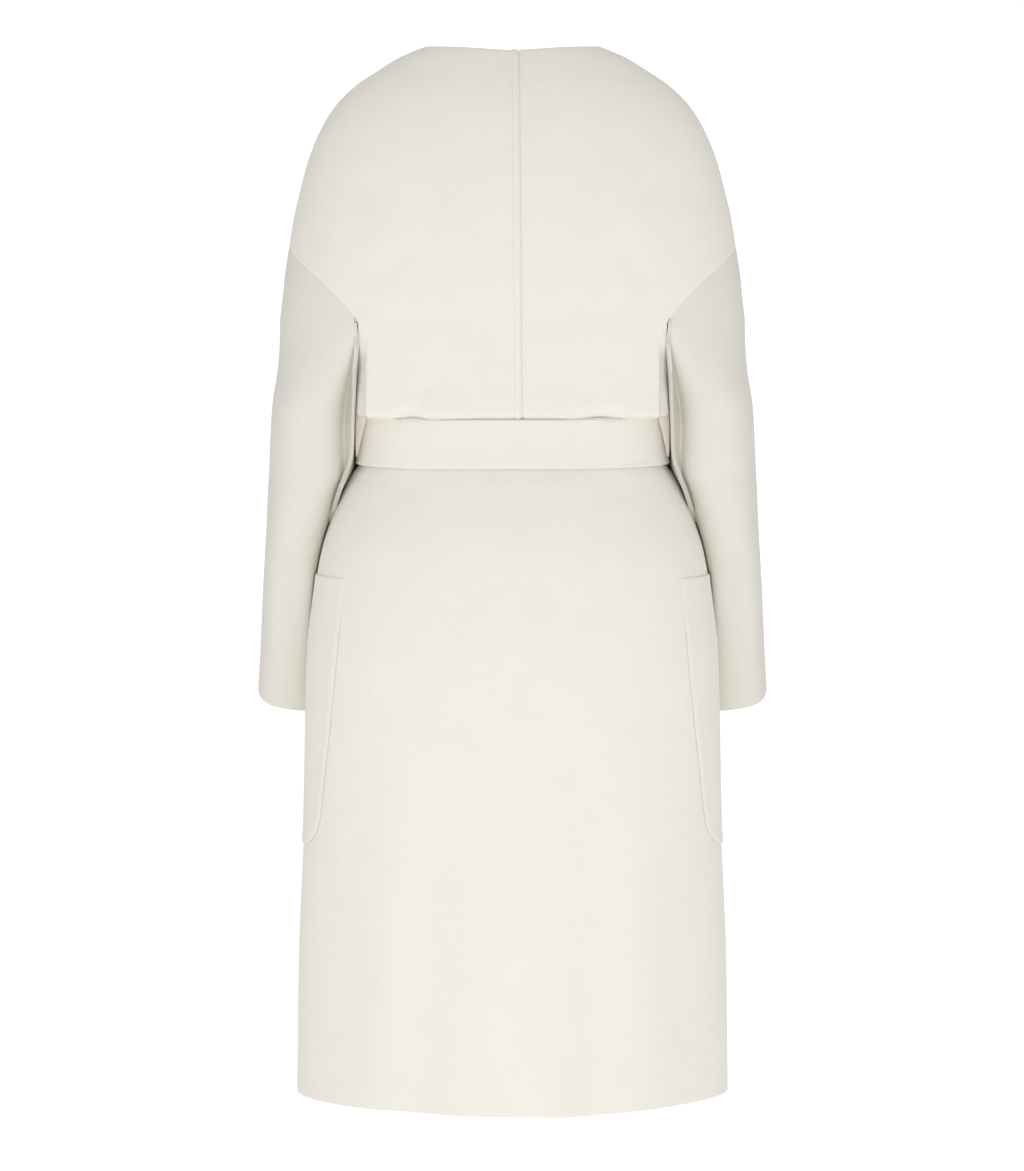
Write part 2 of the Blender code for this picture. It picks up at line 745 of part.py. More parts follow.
# The belt's cross-section: share of its height from the top, share of its thickness
BELT_PROFILE = [(0.0, 0.5), (0.06, 1.0), (0.5, 1.0), (0.94, 1.0), (1.0, 0.5),
                (0.94, 0.0), (0.5, 0.0), (0.06, 0.0)]


def under_belt(z):
    """Height of the cloth that the belt presses on, away from the flare at its two edges."""
    return max(min(z, BELT_TOP - BELT_GRIP), BELT_BOTTOM + BELT_GRIP)


def belt_angles():
    waist = row_at(BODY_RINGS, WAIST_SEAM)
    return spread(waist, 180.0, 0.0, BELT_CELLS // 2)[:-1] + spread(
        waist, 0.0, -180.0, BELT_CELLS // 2)[:-1]


def belt_band(name):
    """The belt round the waist, a soft-edged loop lying on the coat."""
    points, faces = [], []
    sides = len(BELT_PROFILE)
    for angle in belt_angles():
        for drop, rise in BELT_PROFILE:
            z = BELT_TOP + (BELT_BOTTOM - BELT_TOP) * drop
            flat = body_point(under_belt(z), angle, BELT_GAP + BELT_THICK * rise)
            points.append(Vector((flat.x, flat.y, z)))
    for column in range(BELT_CELLS):
        following = (column + 1) % BELT_CELLS
        for side in range(sides):
            beside = (side + 1) % sides
            faces.append([column * sides + side, following * sides + side,
                          following * sides + beside, column * sides + beside])
    return add_solid(name, points, faces, CREAM)


KNOT_X = 16.0
KNOT_WIDTH = 60.0
KNOT_HEIGHT = 52.0
KNOT_DEPTH = 19.0
KNOT_GAP = 0.9
KNOT_TURNS = 20
KNOT_POWER = 3            # roundness of the knot's outline, seen from in front
# The knot's layers: share of its half-size, share of its depth
KNOT_PROFILE = [(0.55, 0.0), (0.9, 0.0), (1.0, 0.3), (0.93, 0.68), (0.66, 0.94), (0.3, 1.0)]

Tail = namedtuple("Tail", "name top_x bottom_x length narrow wide")
TAILS = [
    Tail("belt_tail_left", 34.0, 72.0, 390.0, 26.0, 48.0),
    Tail("belt_tail_right", -2.0, -44.0, 350.0, 26.0, 48.0),
]
TAIL_THICK = 3.4
TAIL_CLEAR = 2.4          # a tail hangs this far off the fronts
TAIL_TOP_CLEAR = 2.5      # and this much more where it leaves the knot
TAIL_SETTLE = 5           # lying down over a fifth of its length
TAIL_OPENING = 2          # and full width after half of it
TAIL_CELLS = 2
TAIL_ROWS = 9


def front_y(x, z, out):
    """Where the front of the skirt is, straight in front of a place across and a height."""
    section = row_at(BODY_RINGS, z)
    return body_point(z, angle_at_x(section, x, "front"), out).y


def belt_knot(name):
    """The tied crossing in front: a rounded pillow shaped to the belt it sits on."""
    middle_z = (BELT_TOP + BELT_BOTTOM) / 2
    points, faces = [], []
    for size, height in KNOT_PROFILE:
        for turn in range(KNOT_TURNS):
            angle = 2 * math.pi * turn / KNOT_TURNS
            cosine, sine = math.cos(angle), math.sin(angle)
            reach = size * (abs(cosine)**KNOT_POWER
                            + abs(sine)**KNOT_POWER) ** (-1 / KNOT_POWER)
            x = KNOT_X + KNOT_WIDTH / 2 * reach * cosine
            z = middle_z + KNOT_HEIGHT / 2 * reach * sine
            out = BELT_GAP + BELT_THICK + KNOT_GAP + KNOT_DEPTH * height
            points.append(Vector((x, front_y(x, under_belt(z), out), z)))
    for ring in range(len(KNOT_PROFILE) - 1):
        for turn in range(KNOT_TURNS):
            beside = (turn + 1) % KNOT_TURNS
            low, high = ring * KNOT_TURNS, (ring + 1) * KNOT_TURNS
            faces.append([low + turn, low + beside, high + beside, high + turn])
    faces.append(list(range(KNOT_TURNS)))
    faces.append([(len(KNOT_PROFILE) - 1) * KNOT_TURNS + turn for turn in range(KNOT_TURNS)])
    return add_solid(name, points, faces, CREAM)


def belt_tail(tail):
    """A free end of the belt, hanging from under the knot down the fronts."""
    top = (BELT_TOP + BELT_BOTTOM - KNOT_HEIGHT) / 2 - SEAM_GAP
    grid = []
    for step in range(TAIL_ROWS + 1):
        share = step / TAIL_ROWS
        z = top - tail.length * share
        centre = tail.top_x + (tail.bottom_x - tail.top_x) * share
        width = tail.narrow + (tail.wide - tail.narrow) * ease(share * TAIL_OPENING)
        row = []
        for cell in range(TAIL_CELLS + 1):
            x = centre + width * (cell / TAIL_CELLS - 0.5)
            out = TAIL_THICK + TAIL_CLEAR + TAIL_TOP_CLEAR * (1 - ease(share * TAIL_SETTLE))
            point = Vector((x, front_y(x, z, out), z))
            row.append((point, Vector((0, -1, 0))))
        grid.append(row)
    return cloth_wall(tail.name, grid, CREAM, thick=TAIL_THICK)


# ---------------------------------------------------------------- the coat

def build_coat():
    remove_everything()
    upper_back("back_upper_left", mirrored=False)
    upper_back("back_upper_right", mirrored=True)
    skirt_back("back_skirt")
    upper_front("front_upper_left", over=False)
    upper_front("front_upper_right", over=True)
    skirt_front("front_skirt_left", over=False)
    skirt_front("front_skirt_right", over=True)
    sleeve("sleeve_left", mirrored=False)
    sleeve("sleeve_right", mirrored=True)
    pocket("pocket_left", mirrored=False)
    pocket("pocket_right", mirrored=True)
    belt_band("belt_band")
    belt_knot("belt_knot")
    for tail in TAILS:
        belt_tail(tail)


build_coat()
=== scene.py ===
# %% [markdown]
# # A belted wool wrap coat, filled out as worn
#
# The coat is collarless, cut from thick double-faced wool and tied with a belt of the same cloth.
# It has two upper back pieces, one skirt back, two long fronts that lap, dropped sleeves and
# patch pockets.  Every cell below makes one of these, or one thing that they share.  The packed
# model is loaded first: it fixes each piece's place and size, and this script gives the looks.

# %% Load the frame
import math

import bpy
import numpy as np
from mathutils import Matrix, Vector
from mathutils.bvhtree import BVHTree


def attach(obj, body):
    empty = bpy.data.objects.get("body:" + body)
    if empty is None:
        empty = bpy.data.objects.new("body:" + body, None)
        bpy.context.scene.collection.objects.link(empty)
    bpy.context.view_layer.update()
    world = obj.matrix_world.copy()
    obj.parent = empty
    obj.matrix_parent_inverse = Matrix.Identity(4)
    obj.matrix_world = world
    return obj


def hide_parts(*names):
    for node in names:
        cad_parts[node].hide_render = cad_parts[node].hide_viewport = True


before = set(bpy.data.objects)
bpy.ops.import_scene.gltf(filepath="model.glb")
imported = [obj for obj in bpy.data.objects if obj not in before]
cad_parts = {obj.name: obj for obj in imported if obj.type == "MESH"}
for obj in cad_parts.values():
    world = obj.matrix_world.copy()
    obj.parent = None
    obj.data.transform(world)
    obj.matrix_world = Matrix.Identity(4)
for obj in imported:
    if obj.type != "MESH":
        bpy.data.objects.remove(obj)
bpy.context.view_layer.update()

# %% [markdown]
# ## The camera
#
# The coat is seen from behind, from a little above its neck, with a long lens.  A camera's lens
# can be given outright, or worked out from how much must fit in the frame.  The second way says
# what the numbers mean: 1.23 m of height fits at the coat's own distance.

# %% Place the camera
FRAME_TALL = 1.2296                   # metres of height that the frame takes in at the coat
EYE = np.array([0.0005, 5.4, -0.14])
AIM = np.array([0.0005, 0.0, -0.5633])
SENSOR = 36.0


def add_camera():
    data = bpy.data.cameras.new("camera")
    data.sensor_width = SENSOR
    data.lens = SENSOR * float(np.linalg.norm(AIM - EYE)) / FRAME_TALL
    camera = bpy.data.objects.new("camera", data)
    bpy.context.scene.collection.objects.link(camera)
    camera.location = EYE
    tilt = math.atan2(EYE[2] - AIM[2], EYE[1] - AIM[1])
    camera.rotation_euler = (math.pi / 2 - tilt, 0.0, math.pi)
    bpy.context.scene.camera = camera
    return data.lens


print("lens", round(add_camera(), 1), "mm")

# %% [markdown]
# ## The cut, as tables of rings
#
# A garment that is filled out is a stack of closed rings.  Above the underarm one wide ring goes
# round the chest and both upper arms; below it the ring divides into one for the body and one
# for each sleeve.  Lofting by hand would do the same, but a short table can be read and changed:
# each row gives a height in millimetres, how far the ring reaches to the side, the back and the
# front, and how square it is.  Between rows the values follow a cubic that never overshoots.

# %% Tables of rings
MM = 0.001
CLOTH = 2.6
LAP_STEP = CLOTH + 1.7
NECK, UNDERARM, WAIST_SEAM, HEM = 0.0, -284.0, -412.0, -1097.0
NECK_DIP, NECK_DIP_REACH = 4.5, 70.0
BELT_TOP, BELT_BOTTOM = -384.0, -435.0


def ease(value):
    """Smooth step from 0 to 1."""
    value = np.clip(value, 0.0, 1.0)
    return value * value * (3 - 2 * value)


class Table:
    """Named columns that can be read at any value of the first one."""

    def __init__(self, names, rows):
        rows = np.array(sorted(rows), float)
        self.names = names.split()
        self.key, self.values = rows[:, 0], rows[:, 1:]
        chords = np.diff(self.values, axis=0) / np.diff(self.key)[:, None]
        before, after = chords[:-1], chords[1:]
        turning = before * after <= 0
        inner = np.where(turning, 0.0, 2 * before * after / np.where(turning, 1.0, before + after))
        self.slopes = np.vstack([chords[:1], inner, chords[-1:]])

    def at(self, key):
        key = np.clip(np.asarray(key, float), self.key[0], self.key[-1])
        i = np.clip(np.searchsorted(self.key, key, side="right") - 1, 0, len(self.key) - 2)
        step = (self.key[i + 1] - self.key[i])[..., None]
        t = (key - self.key[i])[..., None] / step
        values = ((2 * t**3 - 3 * t**2 + 1) * self.values[i]
                  + (t**3 - 2 * t**2 + t) * step * self.slopes[i]
                  + (3 * t**2 - 2 * t**3) * self.values[i + 1]
                  + (t**3 - t**2) * step * self.slopes[i + 1])
        return {name: values[..., n] for n, name in enumerate(self.names)}


WIDE = Table("side back front power front_power middle", [
    (0, 89.0, 48, 44, 2.2, 2.2, 4),
    (-3, 97.5, 52, 48, 2.2, 2.2, 3),
    (-12, 118.5, 59, 56, 2.2, 2.2, 2),
    (-24, 138.0, 67, 65, 2.2, 2.2, 1),
    (-41, 163.5, 77, 75, 2.2, 2.2, 0),
    (-62, 184.5, 86, 85, 2.25, 2.25, 0),
    (-83, 198.0, 93, 92, 2.3, 2.3, 0),
    (-117, 212.5, 101, 102, 2.35, 2.35, 0),
    (-148, 221.0, 106, 111, 2.4, 2.4, 0),
    (-180, 228.5, 109, 118, 2.5, 2.5, 0),
    (-211, 233.5, 110, 123, 2.6, 2.6, 0),
    (-243, 238.5, 110, 127, 2.7, 2.65, 0),
    (-284, 243.0, 108, 128, 2.8, 2.7, 0),
])
BODY = Table("side back front power front_power middle corner ledge", [
    (-284, 161.0, 108, 128, 6.0, 6.0, 0, 0.5, 0),
    (-294, 161.2, 108, 127, 5.4, 5.2, 0, 1, 0),
    (-305, 161.6, 108, 127, 5.0, 4.6, 0, 1, 0.1),
    (-330, 162.4, 107, 126, 4.2, 3.8, 0, 1, 0.8),
    (-348, 162.9, 107, 124.5, 3.7, 3.4, 0, 1, 1),
    (-370, 163.4, 108, 124, 3.1, 3.0, 0, 1, 1),
    (-377, 163.4, 107.8, 122.5, 2.8, 2.7, 0, 1, 1),
    (-381, 162.0, 106.8, 120, 2.7, 2.6, 0, 1, 1),
    (-384, 158.5, 103.5, 118, 2.9, 2.6, 0, 0.6, 0.6),
    (-387, 155.0, 102.0, 117.5, 2.9, 2.6, 0, 0, 0),
    (-412, 156.5, 101, 116, 2.85, 2.5, 0, 0, 0),
    (-434, 160.5, 103, 117, 2.7, 2.4, 0, 0, 0),
    (-442, 166.5, 107, 119, 2.55, 2.3, 1, 0, 0),
    (-450, 171.5, 112, 122, 2.4, 2.25, 3, 0, 0),
    (-465, 179.0, 118, 126, 2.35, 2.2, 6, 0, 0),
    (-500, 192.5, 131, 134, 2.3, 2.1, 14, 0, 0),
    (-520, 198.5, 137, 138, 2.25, 2.05, 18, 0, 0),
    (-545, 203.5, 142, 141, 2.2, 2.0, 22, 0, 0),
    (-580, 208.0, 147, 144, 2.15, 2.0, 25, 0, 0),
    (-630, 213.5, 152, 148, 2.1, 2.0, 26, 0, 0),
    (-690, 215.5, 156, 152, 2.0, 2.0, 26, 0, 0),
    (-740, 216.5, 158, 154, 1.95, 2.0, 25, 0, 0),
    (-800, 218.0, 160, 156, 1.9, 1.95, 22, 0, 0),
    (-870, 221.5, 163, 159, 1.85, 1.9, 18, 0, 0),
    (-950, 225.0, 166, 162, 1.8, 1.85, 14, 0, 0),
    (-1097, 227.5, 173, 168, 1.75, 1.8, 8, 0, 0),
])
# A sleeve: crest is where its underarm fold stands nearest to the middle
SLEEVE = Table("inner outer middle depth power lean crest swell", [
    (-284, 160.5, 243.0, -6, 97, 3.2, 0, 158.5, 0),
    (-312, 162.8, 245.5, -4, 93, 3.0, 0, 162.2, 0),
    (-335, 164.6, 247.0, -3, 89, 2.85, 0, 163.8, 0),
    (-365, 166.4, 250.5, -3, 85.5, 2.7, 0, 163.4, 1),
    (-388, 167.3, 252.3, -4, 82.5, 2.65, 1, 164.4, 5),
    (-400, 167.0, 253.0, -5, 81, 2.6, 2, 164.6, 9),
    (-420, 165.0, 254.2, -8, 78.5, 2.55, 3, 166.6, 10),
    (-435, 163.8, 255.0, -11, 76, 2.5, 5, 172.6, 10),
    (-442, 166.2, 255.5, -13, 75, 2.5, 5.5, 175.4, 11),
    (-450, 171.2, 256.0, -15, 74, 2.5, 6.5, 179.0, 12),
    (-465, 178.8, 257.0, -18, 72.5, 2.5, 8, 185.0, 13),
    (-480, 185.3, 257.7, -22, 71, 2.6, 9.5, 190.0, 13),
    (-500, 191.8, 258.8, -28, 69, 2.75, 11, 196.5, 13),
    (-520, 196.0, 260.2, -35, 66.5, 3.1, 12.3, 200.4, 7),
    (-545, 197.5, 262.0, -43, 66.5, 3.3, 14, 204.0, 2),
    (-580, 197.5, 264.5, -54, 65, 3.3, 15, 206.0, 0),
    (-630, 199.0, 267.5, -69, 62, 2.9, 15, 206.0, 0),
    (-681, 198.0, 271.0, -83, 60, 2.8, 15, 204.5, 0),
])
FRONT_EDGE = Table("x", [
    (0, -84), (-41, -76), (-117, -52), (-211, -16), (-284, 18), (-345, 54), (-390, 86),
    (-434, 96), (-630, 103), (-1097, 112),
])
# The armhole seam: angle round from the side and height, at even steps from its top
ARMHOLE_STEPS = [(0.0, -206), (6.5, -211), (14.8, -225), (20.0, -238), (23.4, -249),
                 (26.6, -262), (29.2, -275), (30.6, -284)]
ARMHOLE_ENDS = len(ARMHOLE_STEPS) - 1
FRONT_ARMHOLE_SPREAD = 1.12
ARMHOLE = Table("angle z", [(sign * step, sign * angle, z)
                            for step, (angle, z) in enumerate(ARMHOLE_STEPS)
                            for sign in ((1, -1) if step else (1,))])
print("rings:", len(WIDE.key), "wide,", len(BODY.key), "body,", len(SLEEVE.key), "sleeve")

# %% [markdown]
# ## Creases placed one by one
#
# Thick wool doesn't wrinkle; it bends in a few soft troughs that start where something pulls or
# presses.  Here that is the belt, the armholes and the flare of the skirt.  A simulation would
# find such folds by itself but not these ones, so each crease is a row: its two ends, its half
# width, how deep it is (a ridge is negative) and how much it bows.

# %% Crease tables and their depth
# Long troughs of the skirt: x at the top and at the hem, height of the top, depth, half-width
SKIRT_TROUGHS = {
    "back": [(64, 97, -640, 5.0, 30), (-66, -90, -640, 5.0, 28),
             (168, 186, -760, 3.0, 26), (-170, -186, -740, 3.0, 26)],
    "front": [(140, 158, -620, 4.0, 30), (-144, -160, -650, 4.0, 30)],
}
TROUGH_GROWTH = 1.4
# Hollows that the belt presses in above its edge: x, height, half-width, half-height, depth
GATHERS = [(106, -383, 14, 8, 8.5), (-94, -383, 19, 8, 8.5)]
# Creases: x and z of one end, x and z of the other, half-width, depth, bow
CREASES = {
    "back": [
        (106, -384, 88, -338, 12, 2.4, -3),      # up from the belt's gathers
        (-92, -384, -80, -342, 13, 2.2, 3),
        (124, -386, 138, -322, 10, 1.0, 2),
        (-122, -386, -137, -330, 10, 0.9, -2),
        (40, -386, 30, -358, 12, 0.6, 0),
        (-44, -386, -38, -360, 12, 0.6, 0),
        (148, -268, 96, -196, 18, 1.6, 6),       # slack beside the armholes
        (-150, -268, -92, -190, 18, 1.6, -6),
        (168, -212, 132, -118, 20, 1.2, 5),
        (-166, -206, -128, -112, 20, 1.2, -5),
        (110, -437, 104, -470, 12, 1.8, 0),      # below the belt
        (-110, -437, -106, -472, 14, 1.8, 0),
        (-8, -437, -6, -468, 18, 1.2, 0),
        (0, -600, -4, -790, 26, 1.6, 0),
        (2, -780, 6, -1100, 34, -1.8, 0),
        (128, -700, 140, -1090, 24, -1.6, 4),
        (-128, -690, -138, -1090, 22, -1.6, -4),
        (44, -560, 62, -700, 24, -1.0, 6),
        (-40, -560, -56, -690, 24, -1.0, -6),
    ],
    "front": [
        (60, -386, 118, -300, 12, 3.0, 5),       # up from the knot towards the armholes
        (-34, -386, -96, -292, 12, 3.0, -5),
        (36, -386, 60, -320, 10, 2.4, 3),
        (-8, -386, -40, -312, 10, 2.4, -3),
        (86, -386, 142, -334, 11, 2.2, 4),
        (-66, -386, -136, -330, 11, 2.2, -4),
        (8, -386, 10, -340, 10, 1.8, 0),
        (168, -206, 120, -110, 18, 1.6, -5),
        (-166, -210, -118, -116, 18, 1.6, 5),
        (48, -440, 84, -560, 14, 3.0, 5),        # down from the knot
        (-20, -440, -62, -575, 14, 3.0, -5),
        (16, -440, 26, -640, 15, 2.6, -4),
        (78, -440, 140, -520, 13, 2.4, 5),
        (-52, -440, -122, -530, 13, 2.4, -5),
        (60, -600, 84, -1100, 30, 3.2, -6),
        (-10, -640, -20, -1100, 34, 2.6, 6),
        (-84, -590, -110, -1100, 28, 3.0, 6),
        (24, -660, 34, -1100, 26, -2.0, 0),
        (-50, -650, -66, -1100, 26, -2.0, 0),
    ],
}
CREASE_ENDS = 0.35       # a crease fades in and out over this share of its length
CREASE_SHOULDER = 0.45   # how much the cloth rises beside a trough


def crease_depth(across, up, creases):
    """How far creases draw the cloth in at places given in millimetres."""
    total = np.zeros(np.broadcast(across, up).shape)
    for x0, z0, x1, z1, width, depth, bow in creases:
        run, fall = x1 - x0, z1 - z0
        length = math.hypot(run, fall)
        share = ((across - x0) * run + (up - z0) * fall) / length**2
        aside = ((across - x0) * fall - (up - z0) * run) / length
        aside = aside - bow * 4 * share * (1 - share)
        ends = ease(share / CREASE_ENDS) * ease((1 - share) / CREASE_ENDS)
        q = (aside / width) ** 2
        total += depth * (1 - CREASE_SHOULDER * q) * np.exp(-q) * ends
    return total


def drawn_in(x, z, half):
    """How far the coat's body is drawn in from its rings."""
    total = crease_depth(x, z, CREASES[half])
    for top_x, hem_x, top_z, depth, width in SKIRT_TROUGHS[half]:
        run = np.clip((z - top_z) / (HEM - top_z), 0, 1)
        centre = top_x + (hem_x - top_x) * run
        total += depth * ease(run * TROUGH_GROWTH) * np.exp(-((x - centre) / width) ** 2)
    if half == "back":
        for place, height, width, tall, depth in GATHERS:
            total += np.where(z >= BELT_TOP, depth, 0.0) * np.exp(
                -((x - place) / width) ** 2 - ((z - height) / tall) ** 2)
    return total


print("creases:", {half: len(rows) for half, rows in CREASES.items()})

# %% [markdown]
# ## From rings to surfaces
#
# A point of the coat is named by a height and a polar angle: 90 is the middle of the back, 0 the
# coat's left side and -90 the middle of its fronts.  The rings are superellipses, so one power
# takes them from an oval skirt to the nearly square ring under the arms.

# %% Points on the wide ring and on the body ring
SIDE_CALM = 0.16         # creases fade out towards the side seam, where back and front meet
FOLD_EDGE = 0.945        # the fronts turn into the side at this share of the half-width
CORNER_EDGE = 0.994      # above the belt the back turns later,
CORNER_DEPTH = 0.84      # at this share of its depth,
CORNER_BACK = 3.5        # is this square before
CORNER_CRISP = 60.0      # and turns this sharply
LEDGE_X, LEDGE_WIDTH = 151.0, 1.6        # there a flat fold's edge lies on the side
LEDGE_DEPTH, LEDGE_SLOPE, LEDGE_Y = 10.0, 1.5, 84.0


def ring_xy(section, angle):
    cosine, sine = np.cos(np.radians(angle)), np.sin(np.radians(angle))
    at_back = sine >= 0
    depth = np.where(at_back, section["back"] - section["middle"],
                     section["front"] + section["middle"])
    power = np.where(at_back, section["power"], section["front_power"])
    reach = np.abs(cosine / section["side"]) ** power + np.abs(sine / depth) ** power
    reach = reach ** (-1 / power)
    if "corner" not in section:
        return reach * cosine, section["middle"] + reach * sine
    flat = (np.abs(cosine / (1.25 * section["side"])) ** CORNER_BACK
            + np.abs(sine / depth) ** CORNER_BACK) ** (-1 / CORNER_BACK)
    slope = (1 - CORNER_EDGE) / (CORNER_DEPTH * depth)
    aside = section["side"] / (np.abs(cosine) + slope * section["side"] * np.abs(sine))
    square = (flat**-CORNER_CRISP + aside**-CORNER_CRISP) ** (-1 / CORNER_CRISP)
    square_share = section["corner"] * at_back
    reach = reach + (square - reach) * square_share
    x, y = reach * cosine, section["middle"] + reach * sine
    past = np.abs(x) - LEDGE_X
    step = LEDGE_DEPTH * ease(past / LEDGE_WIDTH) + LEDGE_SLOPE * np.maximum(past, 0)
    return x, y - step * section["ledge"] * at_back * np.clip(y / LEDGE_Y, 0, 1)


def angle_at_x(section, x, half):
    """Polar angle at which the back or front half of a ring is x from the middle."""
    sign = 1 if half == "back" else -1
    depth = section[half] - sign * section["middle"]
    power = section["power" if half == "back" else "front_power"]
    share = np.clip(np.abs(x) / section["side"], 0, 1)
    y = depth * (1 - share**power) ** (1 / power)
    return sign * np.degrees(np.arctan2(y, x))


def outward_xy(section, angle, x, y):
    """Unit vector straight out of a ring."""
    at_back = np.sin(np.radians(angle)) >= 0
    middle = section["middle"]
    depth = np.where(at_back, section["back"] - middle, section["front"] + middle)
    power = np.where(at_back, section["power"], section["front_power"])
    nx = np.sign(x) * np.abs(x / section["side"]) ** (power - 1) / section["side"]
    ny = np.sign(y - middle) * np.abs((y - middle) / depth) ** (power - 1) / depth
    size = np.hypot(nx, ny)
    return nx / size, ny / size


def on_rings(rings, z, angle, out, side):
    """Points of the body drawn on the left and then put on side +1 or -1."""
    z, angle, out = np.broadcast_arrays(np.asarray(z, float), np.asarray(angle, float),
                                        np.asarray(out, float))
    section = rings.at(z)
    x, y = ring_xy(section, angle)
    nx, ny = outward_xy(section, angle, x, y)
    at_back = np.sin(np.radians(angle)) >= 0
    inward = np.where(at_back, drawn_in(side * x, z, "back"), drawn_in(side * x, z, "front"))
    seam = np.abs(np.sin(np.radians(angle)))
    inward = inward * ease(seam / SIDE_CALM)
    x, y = x + nx * (out - inward), y + ny * (out - inward)
    return np.stack([side * x, y, z], -1)


def body(z, angle, out=0.0, side=1):
    return on_rings(BODY, z, angle, out, side)


def wide(z, angle, side=1):
    points = on_rings(WIDE, z, angle, 0.0, side)
    rise = np.where(np.asarray(angle) > 0, np.sin(np.radians(angle)) ** 2, 0.0)
    points[..., 2] -= NECK_DIP * rise * (1 - ease((NECK - points[..., 2]) / NECK_DIP_REACH))
    return points


def angles_along(rings, z, start, end, distances):
    """Polar angles at distances along each row's ring, going from start to end."""
    steps = np.linspace(0, 1, 161)
    result = []
    for row_z, row_start, row_end in zip(z, start, end):
        fine = row_start + (row_end - row_start) * steps
        x, y = ring_xy(rings.at(np.full_like(fine, row_z)), fine)
        length = np.concatenate([[0], np.cumsum(np.hypot(np.diff(x), np.diff(y)))])
        result.append(np.interp(distances(length[-1]), length, fine))
    return np.array(result)


def heights(rings, top, bottom, step):
    """Heights whose rows are evenly spaced along the coat's outline."""
    fine = np.linspace(top, bottom, 600)
    side = rings.at(fine)["side"]
    length = np.concatenate([[0], np.cumsum(np.hypot(np.diff(side), np.diff(fine)))])
    count = max(int(math.ceil(length[-1] / step)), 1)
    return np.interp(np.linspace(0, length[-1], count + 1), length, fine)


def step_angle(rings, z, distance):
    """Angle that a distance along the ring takes up, next to the side seam."""
    return np.degrees(distance / rings.at(z)["side"])


print("side of the body at the waist:", np.round(body(-412.0, 0.0), 1))

# %% [markdown]
# ## Cloth with a thickness
#
# A cloth piece could be one surface with a Solidify modifier, but its cut edges would be square.
# Thick wool has round edges, so the wall is built here: outer points, the same points one cloth
# thickness in, and a half-round rim between them.  Two such rims side by side also make the soft
# groove that a seam has.

# %% Turn a grid of points into a cloth wall
RIM_TURNS = [45, 90, 135]
RIM = CLOTH / 2                         # a rim reaches this far past its piece's last points
INSET = 0.6                             # sewn rims press together, which leaves a fine groove
OPEN_INSET = 1.15                       # the middle back seam lies more open
STEP = 4.5                              # spacing of the grids


def grid_cells(shape, present, around):
    index = np.arange(shape[0] * shape[1]).reshape(shape[:2])
    after = np.roll(index, -1, axis=1)
    corners = [index[:-1], after[:-1], after[1:], index[1:]]
    if not around:
        corners = [corner[:, :-1] for corner in corners]
    cells = np.stack(corners, -1).reshape(-1, 4)
    return cells[present.ravel()[cells].all(axis=1)]


def point_normals(points, cells):
    diagonals = np.cross(points[cells[:, 2]] - points[cells[:, 0]],
                         points[cells[:, 3]] - points[cells[:, 1]])
    normals = np.zeros_like(points)
    for corner in range(4):
        np.add.at(normals, cells[:, corner], diagonals)
    return normals / np.maximum(np.linalg.norm(normals, axis=1, keepdims=True), 1e-9)


def grid_normals(points, present=None, around=False, flip=False):
    present = np.ones(points.shape[:2], bool) if present is None else present
    cells = grid_cells(points.shape, present, around)
    normals = point_normals(points.reshape(-1, 3), cells).reshape(points.shape)
    return -normals if flip else normals


def add_mesh(name, points, faces):
    """A smooth mesh object from points in millimetres."""
    mesh = bpy.data.meshes.new(name)
    mesh.vertices.add(len(points))
    mesh.vertices.foreach_set("co", (np.asarray(points) * MM).astype(np.float32).ravel())
    faces = np.asarray(faces)
    mesh.loops.add(faces.size)
    mesh.loops.foreach_set("vertex_index", faces.ravel())
    mesh.polygons.add(len(faces))
    mesh.polygons.foreach_set("loop_start", np.arange(0, faces.size, 4))
    mesh.update(calc_edges=True)
    mesh.shade_smooth()
    thing = bpy.data.objects.new(name, mesh)
    bpy.context.scene.collection.objects.link(thing)
    return thing


def cloth(name, grid, present=None, around=False, flip=False, thick=CLOTH, normals=None):
    """A closed cloth wall on a grid of outer points: rows, columns, xyz."""
    present = np.ones(grid.shape[:2], bool) if present is None else present
    points = grid.reshape(-1, 3)
    cells = grid_cells(grid.shape, present, around)
    if flip:
        cells = cells[:, ::-1]
    normals = point_normals(points, cells) if normals is None else normals.reshape(-1, 3)
    inner = points - normals * thick
    edges = np.stack([cells, np.roll(cells, -1, axis=1)], -1).reshape(-1, 2)
    total = len(points)
    border = edges[~np.isin(edges[:, 0] * total + edges[:, 1], edges[:, 1] * total + edges[:, 0])]
    along = points[border[:, 1]] - points[border[:, 0]]
    away = np.cross(along, normals[border[:, 0]])
    away /= np.maximum(np.linalg.norm(away, axis=1, keepdims=True), 1e-9)
    outward = np.zeros_like(points)
    for end in (0, 1):
        np.add.at(outward, border[:, end], away)
    rim = np.unique(border)
    outward = outward[rim] / np.maximum(np.linalg.norm(outward[rim], axis=1, keepdims=True), 1e-9)
    place = np.zeros(total, int)
    place[rim] = np.arange(len(rim))
    centre = (points[rim] + inner[rim]) / 2
    loops = [centre + (normals[rim] * math.cos(math.radians(turn))
                       + outward * math.sin(math.radians(turn))) * thick / 2
             for turn in RIM_TURNS]
    every = np.vstack([points, inner] + loops)
    starts = [2 * total + n * len(rim) for n in range(len(loops))]
    a, b = border[:, 0], border[:, 1]
    chain_a = [a] + [start + place[a] for start in starts] + [a + total]
    chain_b = [b] + [start + place[b] for start in starts] + [b + total]
    faces = [cells, cells[:, ::-1] + total]
    faces += [np.stack([chain_b[n], chain_a[n], chain_a[n + 1], chain_b[n + 1]], -1)
              for n in range(len(chain_a) - 1)]
    faces = np.vstack(faces)
    used = np.unique(faces)
    renumber = np.zeros(len(every), int)
    renumber[used] = np.arange(len(used))
    piece = add_mesh(name, every[used], renumber[faces])
    print(f"{name}: {len(faces) * 2} triangles")
    return piece


